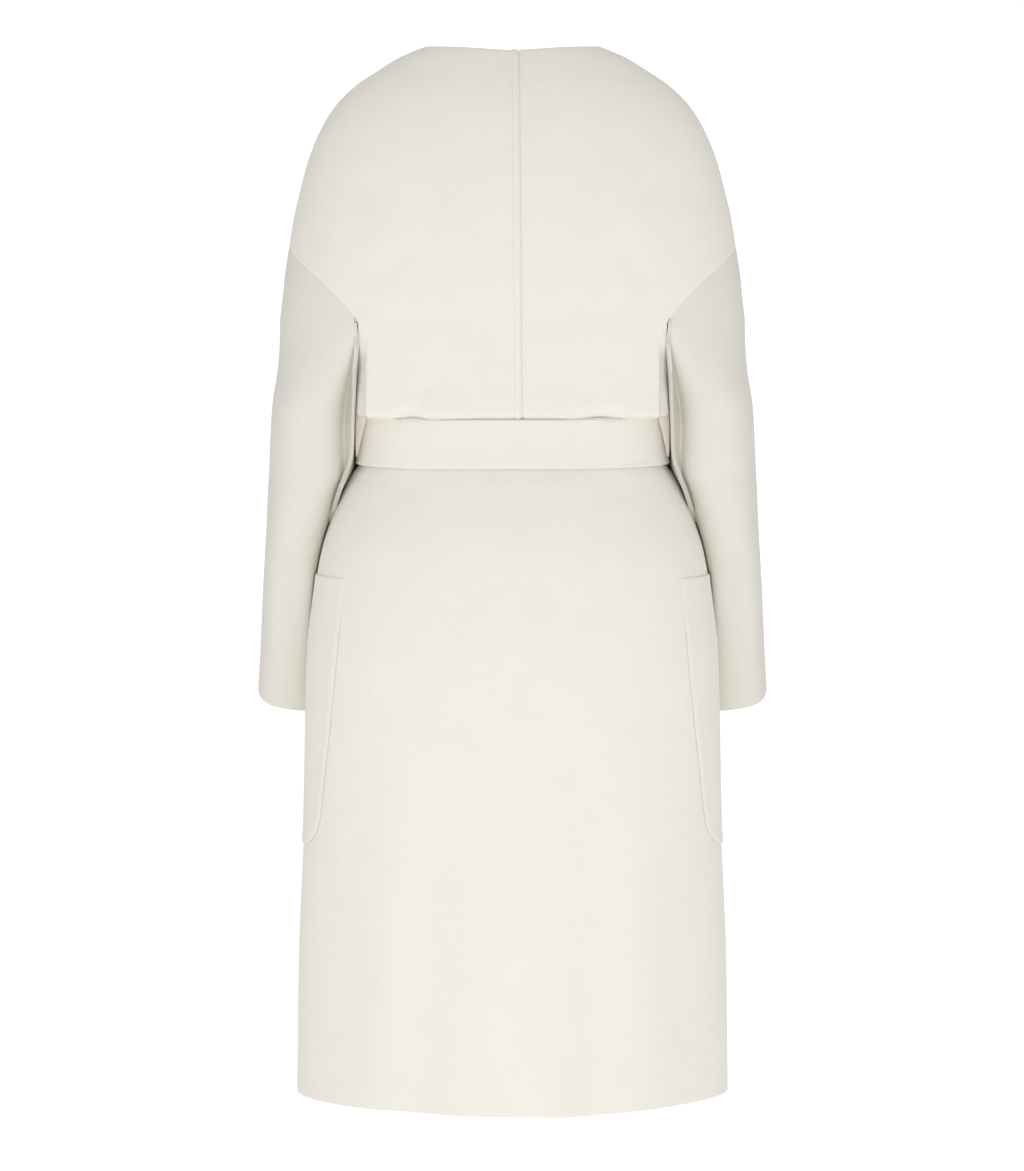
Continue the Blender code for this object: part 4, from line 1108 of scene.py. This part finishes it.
def closed_both_ways(name, grid, flip=False):
    """A ring-shaped solid from a grid whose rows and columns both close."""
    rows, columns = grid.shape[:2]
    index = np.arange(rows * columns).reshape(rows, columns)
    after = np.roll(index, -1, axis=1)
    corners = [index, after, np.roll(after, -1, axis=0), np.roll(index, -1, axis=0)]
    faces = np.stack(corners, -1).reshape(-1, 4)
    if flip:
        faces = faces[:, ::-1]
    piece = add_mesh(name, grid.reshape(-1, 3), faces)
    print(f"{name}: {len(faces) * 2} triangles")
    return piece


def belt_section():
    """Height share down the belt and thickness share, once round its section."""
    tall = BELT_TOP - BELT_BOTTOM
    radius = BELT_THICK / 2
    face = np.linspace(radius, tall - radius, 26)
    turn = np.radians(np.linspace(90, -90, 9))[1:-1]
    low = tall - radius + radius * np.cos(turn)
    front_side = [(drop, 1.0) for drop in face]
    bottom = [(drop, 0.5 + 0.5 * math.sin(t)) for drop, t in zip(low, turn)]
    back_side = [(drop, 0.0) for drop in np.linspace(tall - radius, radius, 8)]
    top = [(tall - drop, 0.5 - 0.5 * math.sin(t)) for drop, t in zip(low, turn)]
    return np.array(front_side + bottom + back_side + top)


def belt_loop(name):
    section = belt_section()
    fine = np.linspace(180, -180, 1600)
    x, y = ring_xy(BODY.at(np.full_like(fine, WAIST_SEAM)), fine)
    length = np.concatenate([[0], np.cumsum(np.hypot(np.diff(x), np.diff(y)))])
    angle = np.interp(np.linspace(0, length[-1], BELT_COLUMNS + 1)[:-1], length, fine)
    along = np.linspace(0, 2 * np.pi, BELT_COLUMNS + 1)[:-1]
    x, _ = ring_xy(BODY.at(np.full_like(angle, WAIST_SEAM)), angle)
    pull = np.exp(-((x - KNOT_X) / KNOT_PULL) ** 2) * (angle < 0)
    drop, rise = section[:, :1], section[:, 1:]
    z = BELT_TOP - drop
    middle = (BELT_TOP + BELT_BOTTOM) / 2
    tall = (BELT_TOP - BELT_BOTTOM) / 2
    up = (z - middle) / tall
    out = BELT_GAP + BELT_THICK * rise
    face = (rise > 0.9).astype(float)
    soft = (0.25 * np.sin(5 * along + 0.8) + 0.2 * np.sin(9 * along + 2.1)
            + 0.25 * np.sin(3 * along + 4.0) * up)
    edge_line = 0.35 * np.exp(-((1 - np.abs(up)) * tall - 4.2) ** 2 / 0.8)
    tuck = crease_depth(x, z, [(-98, -429.5, -150, -427.5, 2.6, 0.9, 0)]) * (angle > 0)
    pleats = 2.4 * pull * np.cos(up * 3.5 * np.pi)
    out = out + face * (soft + pleats - edge_line - tuck) + 1.2 * pull * face
    z = middle + (z - middle) * (1 - 0.2 * pull)
    z = z + 0.5 * np.sin(2 * along + 1.0) + 0.3 * np.sin(5 * along)
    under = np.clip(z, BELT_BOTTOM + BELT_GRIP, BELT_TOP - BELT_GRIP)
    calm = BODY.at(under)
    px, py = ring_xy(calm, angle)
    nx, ny = outward_xy(calm, angle, px, py)
    grid = np.stack([px + nx * out, py + ny * out, z + 0 * px], -1)
    return closed_both_ways(name, grid)


belt = belt_loop("coat_belt")

# %% [markdown]
# ## Hanging the sleeves
#
# The sleeves hang against the side of the coat, the belt and the pockets, so those come first.
# A ray sent in from the side finds how far out they reach, and the sleeve's own wall gives way.

# %% Sleeves, clear of what they hang beside
BESIDE_SLEEVE = {
    1: [front_upper_left, back_left, front_skirt_left, skirt, pocket_left, belt],
    -1: [front_upper_right, back_right, front_skirt_right, skirt, pocket_right, belt],
}
sleeve_left = sleeve("coat_sleeve_left", 1)
sleeve_right = sleeve("coat_sleeve_right", -1)

# %% [markdown]
# ## The knot and the belt's ends
#
# In front the belt is tied once.  What shows of such a knot is a plump wrap crossed by a few
# deep folds, with the two ends coming out below it.  The wrap is a rounded pillow whose points
# are pressed in along slanting lines; the ends are cloth walls that hang from it and settle
# against the fronts.

# %% Knot
KNOT_WIDTH, KNOT_HEIGHT, KNOT_DEPTH, KNOT_GAP = 60.0, 52.0, 19.0, 0.9
KNOT_PROFILE = Table("size height", [(0, 0.5, 0.0), (1, 0.9, 0.0), (2, 1.0, 0.3),
                                     (3, 0.93, 0.68), (4, 0.66, 0.94), (5, 0.3, 1.0),
                                     (6, 0.02, 1.02)])
KNOT_CREASES = [(-16, 30, 20, -30, 3.2, 3.4, 3), (-26, 14, 4, -30, 2.8, 2.6, 2),
                (0, 30, 28, -14, 3.0, 2.8, -3), (-28, -6, -14, -26, 2.6, 2.2, 1),
                (14, 28, 30, 6, 2.6, 2.0, -1)]


def front_y(x, z, out):
    """Where the fronts are, straight in front of a place across and a height."""
    section = BODY.at(z)
    angle = angle_at_x(section, x, "front")
    return body(z, angle, out)[..., 1]


def knot(name):
    place = np.linspace(0, 6, 34)[:, None]
    turn = np.linspace(0, 2 * np.pi, 97)[:-1]
    profile = KNOT_PROFILE.at(place + 0 * turn)
    cosine, sine = np.cos(turn), np.sin(turn)
    round_reach = (np.abs(cosine) ** 3 + np.abs(sine) ** 3) ** (-1 / 3)
    x = KNOT_WIDTH / 2 * profile["size"] * round_reach * cosine
    up = KNOT_HEIGHT / 2 * profile["size"] * round_reach * sine
    pressed = crease_depth(x, up, KNOT_CREASES) * profile["height"]
    middle = (BELT_TOP + BELT_BOTTOM) / 2
    out = BELT_GAP + BELT_THICK + KNOT_GAP + KNOT_DEPTH * profile["height"] - pressed
    under = np.clip(middle + up, BELT_BOTTOM + BELT_GRIP, BELT_TOP - BELT_GRIP)
    y = front_y(x + KNOT_X, under, out)
    grid = np.stack([x + KNOT_X, y, middle + up], -1)
    rows, columns = grid.shape[:2]
    index = np.arange(rows * columns).reshape(rows, columns)
    after = np.roll(index, -1, axis=1)
    faces = np.stack([index[:-1], after[:-1], after[1:], index[1:]], -1).reshape(-1, 4)
    half = columns // 2
    ends = []
    for row, turned in ((index[0], False), (index[-1], True)):
        for n in range(half - 1):
            quad = [row[n], row[n + 1], row[columns - 2 - n], row[columns - 1 - n]]
            ends.append(quad if turned else quad[::-1])
    faces = np.vstack([faces, np.array(ends)])
    piece = add_mesh(name, grid.reshape(-1, 3), faces)
    print(f"{name}: {len(faces) * 2} triangles")
    return piece


belt_knot = knot("coat_belt_knot")

# %% Belt ends
TAIL_THICK, TAIL_CLEAR, TAIL_TOP_CLEAR = 3.4, 2.4, 2.5
TAILS = {                # x at the top, x at the bottom, length, narrow, wide, waves
    "left": (34.0, 72.0, 390.0, 26.0, 48.0, 1.0),
    "right": (-2.0, -44.0, 350.0, 26.0, 48.0, -1.0),
}


def tail(name, row):
    top_x, bottom_x, long, narrow, broad, turn = row
    top = (BELT_TOP + BELT_BOTTOM - KNOT_HEIGHT) / 2 + 6
    share = np.linspace(0, 1, 90)[:, None]
    z = top - (long + 6 - TAIL_THICK / 2) * share
    centre = top_x + (bottom_x - top_x) * share + 3.0 * turn * np.sin(share * 2.6 * np.pi)
    width = narrow + (broad - narrow) * ease(share * 2) - TAIL_THICK
    across = np.concatenate([[-1, -0.95, -0.88], np.linspace(-0.8, 0.8, 13), [0.88, 0.95, 1]])
    x = centre + width / 2 * across
    clear = TAIL_CLEAR + TAIL_TOP_CLEAR * (1 - ease(share * 5))
    sway = (3.0 * turn * across * np.sin(share * 2.2 * np.pi + 0.5)
            + 2.4 * across**2 * ease(share * 3) + 1.6 * np.sin(share * 5.3 * np.pi))
    pleat = 2.0 * np.cos(across * 2.5 * np.pi) * (1 - ease(share * 4))
    out = TAIL_THICK + clear + 3.2 * ease(share * 4) + sway * ease(share * 4) + pleat
    y = front_y(x, z + 0 * x, out)
    grid = np.stack([x, y, z + 0 * x], -1)
    return cloth(name, grid, flip=True, thick=TAIL_THICK)


belt_ends = {side: tail(f"coat_belt_end_{side}", row) for side, row in TAILS.items()}

# %% [markdown]
# ## The wool
#
# Double-faced wool is milled and brushed until no thread shows: a matt, slightly uneven cream
# with a nap that lies downwards.  A picture of cloth would repeat and stretch; noise on the
# piece's own coordinates doesn't.  Broad noise shifts the shade by a hundred or so, fine noise
# stretched downwards lifts the nap, and a little sheen lights the surface where it turns away.

# %% Wool and thread
# The sleeves' shade is a darker copy of the coat's wool: painted shade for the dimmer light that
# reaches the arms at the sides.
WOOL = {"coat": (0.83, 0.791, 0.722), "belt": (0.83, 0.789, 0.722),
        "sleeve": (0.748, 0.722, 0.658)}
THREAD = (0.80, 0.765, 0.70)
MOTTLE_SCALE, MOTTLE = 26.0, 0.012
NAP_SCALE, NAP_STRETCH, NAP_HEIGHT = 520.0, 0.3, 0.0004
FUZZ_SCALE, FUZZ_HEIGHT = 85.0, 0.0009


def node(tree, kind, place, **values):
    made = tree.nodes.new(kind)
    made.location = place
    for name, value in values.items():
        if hasattr(made, name):
            setattr(made, name, value)
        else:
            made.inputs[name].default_value = value
    return made


def wool(name, colour):
    material = bpy.data.materials.new(name)
    material.use_nodes = True
    tree = material.node_tree
    link = tree.links.new
    shader = tree.nodes["Principled BSDF"]
    shader.inputs["Roughness"].default_value = 0.92
    shader.inputs["Specular IOR Level"].default_value = 0.12
    shader.inputs["Sheen Weight"].default_value = 0.12
    shader.inputs["Sheen Roughness"].default_value = 0.55
    shader.inputs["Sheen Tint"].default_value = (1.0, 0.97, 0.92, 1.0)
    place = node(tree, "ShaderNodeTexCoord", (-1200, 0)).outputs["Object"]
    mottle = node(tree, "ShaderNodeTexNoise", (-900, 200), Scale=MOTTLE_SCALE, Detail=5.0,
                  Roughness=0.6)
    link(place, mottle.inputs["Vector"])
    ramp = node(tree, "ShaderNodeMapRange", (-650, 200))
    ramp.inputs["From Min"].default_value, ramp.inputs["From Max"].default_value = 0.3, 0.7
    ramp.inputs["To Min"].default_value, ramp.inputs["To Max"].default_value = 1 - MOTTLE, 1 + MOTTLE
    link(mottle.outputs["Fac"], ramp.inputs["Value"])
    shade = node(tree, "ShaderNodeVectorMath", (-400, 200), operation="SCALE")
    shade.inputs[0].default_value = colour
    link(ramp.outputs["Result"], shade.inputs["Scale"])
    link(shade.outputs["Vector"], shader.inputs["Base Color"])
    lie = node(tree, "ShaderNodeMapping", (-1000, -250))
    lie.inputs["Scale"].default_value = (1.0, 1.0, NAP_STRETCH)
    link(place, lie.inputs["Vector"])
    nap = node(tree, "ShaderNodeTexNoise", (-800, -250), Scale=NAP_SCALE, Detail=3.0,
               Roughness=0.65)
    link(lie.outputs["Vector"], nap.inputs["Vector"])
    fuzz = node(tree, "ShaderNodeTexNoise", (-800, -500), Scale=FUZZ_SCALE, Detail=4.0,
                Roughness=0.6)
    link(place, fuzz.inputs["Vector"])
    low = node(tree, "ShaderNodeBump", (-500, -500), Strength=0.5, Distance=FUZZ_HEIGHT)
    link(fuzz.outputs["Fac"], low.inputs["Height"])
    high = node(tree, "ShaderNodeBump", (-250, -300), Strength=0.6, Distance=NAP_HEIGHT)
    link(nap.outputs["Fac"], high.inputs["Height"])
    link(low.outputs["Normal"], high.inputs["Normal"])
    link(high.outputs["Normal"], shader.inputs["Normal"])
    return material


coat_wool, belt_wool, sleeve_wool_painted_shade = [wool(f"{part}_wool", shade) for part, shade in WOOL.items()]
print("materials:", [material.name for material in (coat_wool, belt_wool, sleeve_wool_painted_shade)])

# %% [markdown]
# ## Hand stitches
#
# Double-faced wool is closed by hand with small slanting stitches that sink into the pile.  They
# repeat along a line, so a geometry-nodes tree lays them: the line becomes evenly spaced points,
# each carries one thin grain of thread turned to the line, and a little chance keeps it handmade.

# %% Stitches along the felled seam and round the pockets
STITCH_SPACING, STITCH_LENGTH, STITCH_RADIUS, STITCH_SEED = 0.0075, 0.0026, 0.0002, 7


def thread_material():
    material = bpy.data.materials.new("thread")
    material.use_nodes = True
    tree = material.node_tree
    shader = tree.nodes["Principled BSDF"]
    shader.inputs["Roughness"].default_value = 0.7
    place = node(tree, "ShaderNodeTexCoord", (-900, 0)).outputs["Object"]
    twist = node(tree, "ShaderNodeTexWave", (-650, 0), Scale=1400.0, Distortion=2.0)
    tree.links.new(place, twist.inputs["Vector"])
    ramp = node(tree, "ShaderNodeMixRGB", (-350, 0))
    ramp.inputs["Color1"].default_value = (*THREAD, 1.0)
    ramp.inputs["Color2"].default_value = tuple(0.93 * part for part in THREAD) + (1.0,)
    tree.links.new(twist.outputs["Fac"], ramp.inputs["Fac"])
    tree.links.new(ramp.outputs["Color"], shader.inputs["Base Color"])
    return material


def stitch_tree():
    tree = bpy.data.node_groups.new("stitches", "GeometryNodeTree")
    face = tree.interface
    face.new_socket("Lines", in_out="INPUT", socket_type="NodeSocketGeometry")
    for name in ("Spacing", "Length", "Radius"):
        face.new_socket(name, in_out="INPUT", socket_type="NodeSocketFloat")
    face.new_socket("Seed", in_out="INPUT", socket_type="NodeSocketInt")
    face.new_socket("Thread", in_out="INPUT", socket_type="NodeSocketMaterial")
    face.new_socket("Stitches", in_out="OUTPUT", socket_type="NodeSocketGeometry")
    link = tree.links.new
    given = node(tree, "NodeGroupInput", (-1000, 0)).outputs
    curve = node(tree, "GeometryNodeMeshToCurve", (-800, 200))
    link(given["Lines"], curve.inputs["Mesh"])
    even = node(tree, "GeometryNodeResampleCurve", (-600, 200), mode="LENGTH")
    link(curve.outputs["Curve"], even.inputs["Curve"])
    link(given["Spacing"], even.inputs["Length"])
    grain = node(tree, "GeometryNodeMeshUVSphere", (-800, -200), Segments=6, Rings=4)
    link(given["Radius"], grain.inputs["Radius"])
    ratio = node(tree, "ShaderNodeMath", (-800, -450), operation="DIVIDE")
    link(given["Length"], ratio.inputs[0])
    link(given["Radius"], ratio.inputs[1])
    half = node(tree, "ShaderNodeMath", (-600, -450), operation="MULTIPLY")
    half.inputs[1].default_value = 0.5
    link(ratio.outputs[0], half.inputs[0])
    long = node(tree, "ShaderNodeCombineXYZ", (-400, -450), X=1.0, Y=1.0)
    link(half.outputs[0], long.inputs["Z"])
    stretched = node(tree, "GeometryNodeTransform", (-400, -200))
    link(grain.outputs["Mesh"], stretched.inputs["Geometry"])
    link(long.outputs[0], stretched.inputs["Scale"])
    tangent = node(tree, "GeometryNodeInputTangent", (-800, 0))
    chance = node(tree, "FunctionNodeRandomValue", (-800, -700), data_type="FLOAT_VECTOR")
    chance.inputs["Min"].default_value = (-0.45, -0.45, -0.45)
    chance.inputs["Max"].default_value = (0.45, 0.45, 0.45)
    link(given["Seed"], chance.inputs["Seed"])
    lean = node(tree, "ShaderNodeVectorMath", (-600, -50), operation="ADD")
    link(tangent.outputs["Tangent"], lean.inputs[0])
    link(chance.outputs["Value"], lean.inputs[1])
    turn = node(tree, "FunctionNodeAlignRotationToVector", (-400, 0), axis="Z")
    link(lean.outputs["Vector"], turn.inputs["Vector"])
    laid = node(tree, "GeometryNodeInstanceOnPoints", (-150, 100))
    link(even.outputs["Curve"], laid.inputs["Points"])
    link(stretched.outputs["Geometry"], laid.inputs["Instance"])
    link(turn.outputs["Rotation"], laid.inputs["Rotation"])
    real = node(tree, "GeometryNodeRealizeInstances", (50, 100))
    link(laid.outputs["Instances"], real.inputs["Geometry"])
    dyed = node(tree, "GeometryNodeSetMaterial", (250, 100))
    link(real.outputs["Geometry"], dyed.inputs["Geometry"])
    link(given["Thread"], dyed.inputs["Material"])
    result = node(tree, "NodeGroupOutput", (450, 100))
    link(dyed.outputs["Geometry"], result.inputs["Stitches"])
    return tree


def stitches(name, lines, thread):
    points = np.vstack(lines) * MM
    starts = np.cumsum([0] + [len(line) for line in lines])
    edges = [(n, n + 1) for first, last in zip(starts, starts[1:]) for n in range(first, last - 1)]
    guide = bpy.data.meshes.new(name + "_lines")
    guide.from_pydata(points.tolist(), edges, [])
    row = bpy.data.objects.new(name, guide)
    bpy.context.scene.collection.objects.link(row)
    tree = stitch_tree()
    laid = row.modifiers.new("stitches", "NODES")
    laid.node_group = tree
    values = {"Spacing": STITCH_SPACING, "Length": STITCH_LENGTH, "Radius": STITCH_RADIUS,
              "Seed": STITCH_SEED, "Thread": thread}
    for socket in tree.interface.items_tree:
        if socket.name in values:
            laid[socket.identifier] = values[socket.name]
    seen = row.evaluated_get(bpy.context.evaluated_depsgraph_get())
    mesh = bpy.data.meshes.new_from_object(seen)
    mesh.name = name
    row.modifiers.remove(laid)
    row.data = mesh
    mesh.shade_smooth()
    bpy.data.meshes.remove(guide)
    mesh.materials.clear()
    mesh.materials.append(thread)
    mesh.polygons.foreach_set("material_index", [0] * len(mesh.polygons))
    print(f"{name}: {len(mesh.polygons)} faces")
    return row


hand_stitches = stitches("coat_hand_stitches", SEWN, thread_material())

# %% [markdown]
# ## Light
#
# Pale cloth on white needs soft light that isn't the same from every side, or it goes flat.  A
# world whose brightness depends on direction does what a white studio does: brightest behind the
# camera, a bright wall behind the coat, dimmer walls and ceiling.  The floor is pale and glows a
# little, so the skirt is lit from below and the ground stays white.

# %% Studio
WALLS, BEHIND_CAMERA, BACK_WALL, CEILING = 0.56, 0.41, 0.55, 0.15
WALL_SHADE = (0.985, 1.0, 1.0, 1.0)
FLOOR_Z, FLOOR_RADIUS, FLOOR_GLOW = -1.42, 3.6, 0.44
SOFTBOX_PLACE, SOFTBOX_SIZE, SOFTBOX_POWER = (0.0, 1.7, -0.82), 1.0, 3.2
SOFTBOX_SHADE = (1.0, 0.98, 0.95)


def studio():
    world = bpy.data.worlds.new("studio")
    bpy.context.scene.world = world
    world.use_nodes = True
    tree = world.node_tree
    link = tree.links.new
    direction = node(tree, "ShaderNodeTexCoord", (-1200, 0)).outputs["Generated"]
    parts = node(tree, "ShaderNodeSeparateXYZ", (-1000, 0))
    link(direction, parts.inputs["Vector"])
    total = None
    for row, (axis, low, high, amount) in enumerate([
            ("Y", 0.0, 1.0, BEHIND_CAMERA), ("Y", -0.92, -0.97, BACK_WALL),
            ("Z", 0.3, 1.0, CEILING)]):
        part = node(tree, "ShaderNodeMapRange", (-750, 250 - 250 * row),
                    interpolation_type="SMOOTHSTEP")
        part.inputs["From Min"].default_value, part.inputs["From Max"].default_value = low, high
        part.inputs["To Min"].default_value, part.inputs["To Max"].default_value = 0.0, amount
        link(parts.outputs[axis], part.inputs["Value"])
        join = node(tree, "ShaderNodeMath", (-500 + 150 * row, 0), operation="ADD")
        join.inputs[0].default_value = WALLS
        link(part.outputs["Result"], join.inputs[1])
        if total is not None:
            link(total, join.inputs[0])
        total = join.outputs["Value"]
    back = tree.nodes["Background"]
    back.inputs["Color"].default_value = WALL_SHADE
    link(total, back.inputs["Strength"])


def hang_softbox():
    data = bpy.data.lights.new("softbox", "AREA")
    data.shape, data.size = "SQUARE", SOFTBOX_SIZE
    data.energy, data.color = SOFTBOX_POWER, SOFTBOX_SHADE
    lamp = bpy.data.objects.new("softbox", data)
    bpy.context.scene.collection.objects.link(lamp)
    lamp.location = SOFTBOX_PLACE
    lamp.rotation_euler = (-math.pi / 2, 0.0, 0.0)
    lamp.visible_camera = False


def lay_floor():
    material = bpy.data.materials.new("floor")
    material.use_nodes = True
    shader = material.node_tree.nodes["Principled BSDF"]
    shader.inputs["Base Color"].default_value = (0.88, 0.88, 0.88, 1.0)
    shader.inputs["Roughness"].default_value = 0.8
    shader.inputs["Emission Color"].default_value = (1.0, 1.0, 1.0, 1.0)
    shader.inputs["Emission Strength"].default_value = FLOOR_GLOW
    turn = np.linspace(0, 2 * np.pi, 97)[:-1]
    mesh = bpy.data.meshes.new("floor")
    ring = [(FLOOR_RADIUS * math.cos(t), FLOOR_RADIUS * math.sin(t), FLOOR_Z) for t in turn]
    mesh.from_pydata(ring, [], [list(range(len(ring)))])
    mesh.materials.append(material)
    floor = bpy.data.objects.new("floor", mesh)
    bpy.context.scene.collection.objects.link(floor)


studio()
hang_softbox()
lay_floor()
bpy.context.scene.view_settings.view_transform = "Standard"
print("floor at", FLOOR_Z)

# %% [markdown]
# ## What each piece stands for
#
# Each cloth wall takes the place of one solid and moves with the only body.  Each sheet is listed
# with the size of its flat cut, and the area of one face of its cloth is printed beside it: the
# visible cloth must have about the area that was cut, neither stretched nor bunched.

# %% Materials, bodies and flat cuts
# node: piece, width, length, area in square metres where it isn't a rectangle, how it is held
PIECES = {
    "back_upper_left": (back_left, 0.33, 0.43, 0.111, "hung"),
    "back_upper_right": (back_right, 0.31, 0.43, 0.104, "hung"),
    "back_skirt": (skirt, 0.64, 0.69, 0.380, "hung"),
    "front_upper_left": (front_upper_left, 0.37, 0.47, 0.106, "hung"),
    "front_upper_right": (front_upper_right, 0.37, 0.47, 0.110, "hung"),
    "front_skirt_left": (front_skirt_left, 0.45, 0.69, 0.280, "hung"),
    "front_skirt_right": (front_skirt_right, 0.45, 0.69, 0.280, "hung"),
    "sleeve_left": (sleeve_left, 0.47, 0.49, 0.175, "hung"),
    "sleeve_right": (sleeve_right, 0.47, 0.49, 0.175, "hung"),
    "pocket_left": (pocket_left, 0.196, 0.284, 0.0550, "laid"),
    "pocket_right": (pocket_right, 0.196, 0.284, 0.0550, "laid"),
    "belt_band": (belt, 0.90, 0.051, None, "gathered"),
    "belt_knot": (belt_knot, 0, 0, None, None),
    "belt_tail_left": (belt_ends["left"], 0.39, 0.048, None, "hung"),
    "belt_tail_right": (belt_ends["right"], 0.35, 0.048, None, "hung"),
}


def half_surface(piece):
    """Area of one face of a wall in square metres."""
    area = np.zeros(len(piece.data.polygons))
    piece.data.polygons.foreach_get("area", area)
    return area.sum() / 2


for solid, (piece, width, length, area, held) in PIECES.items():
    of_belt = solid.startswith("belt")
    of_sleeve = solid.startswith("sleeve")
    # sleeves take the darker wool, which is painted shade
    piece.data.materials.append(belt_wool if of_belt else sleeve_wool_painted_shade if of_sleeve else coat_wool)
    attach(piece, "root")
    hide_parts(solid)
    print(f"{solid}: {half_surface(piece):.4f} m2 a face, cut {area or width * length:.4f} m2")
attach(hand_stitches, "root")
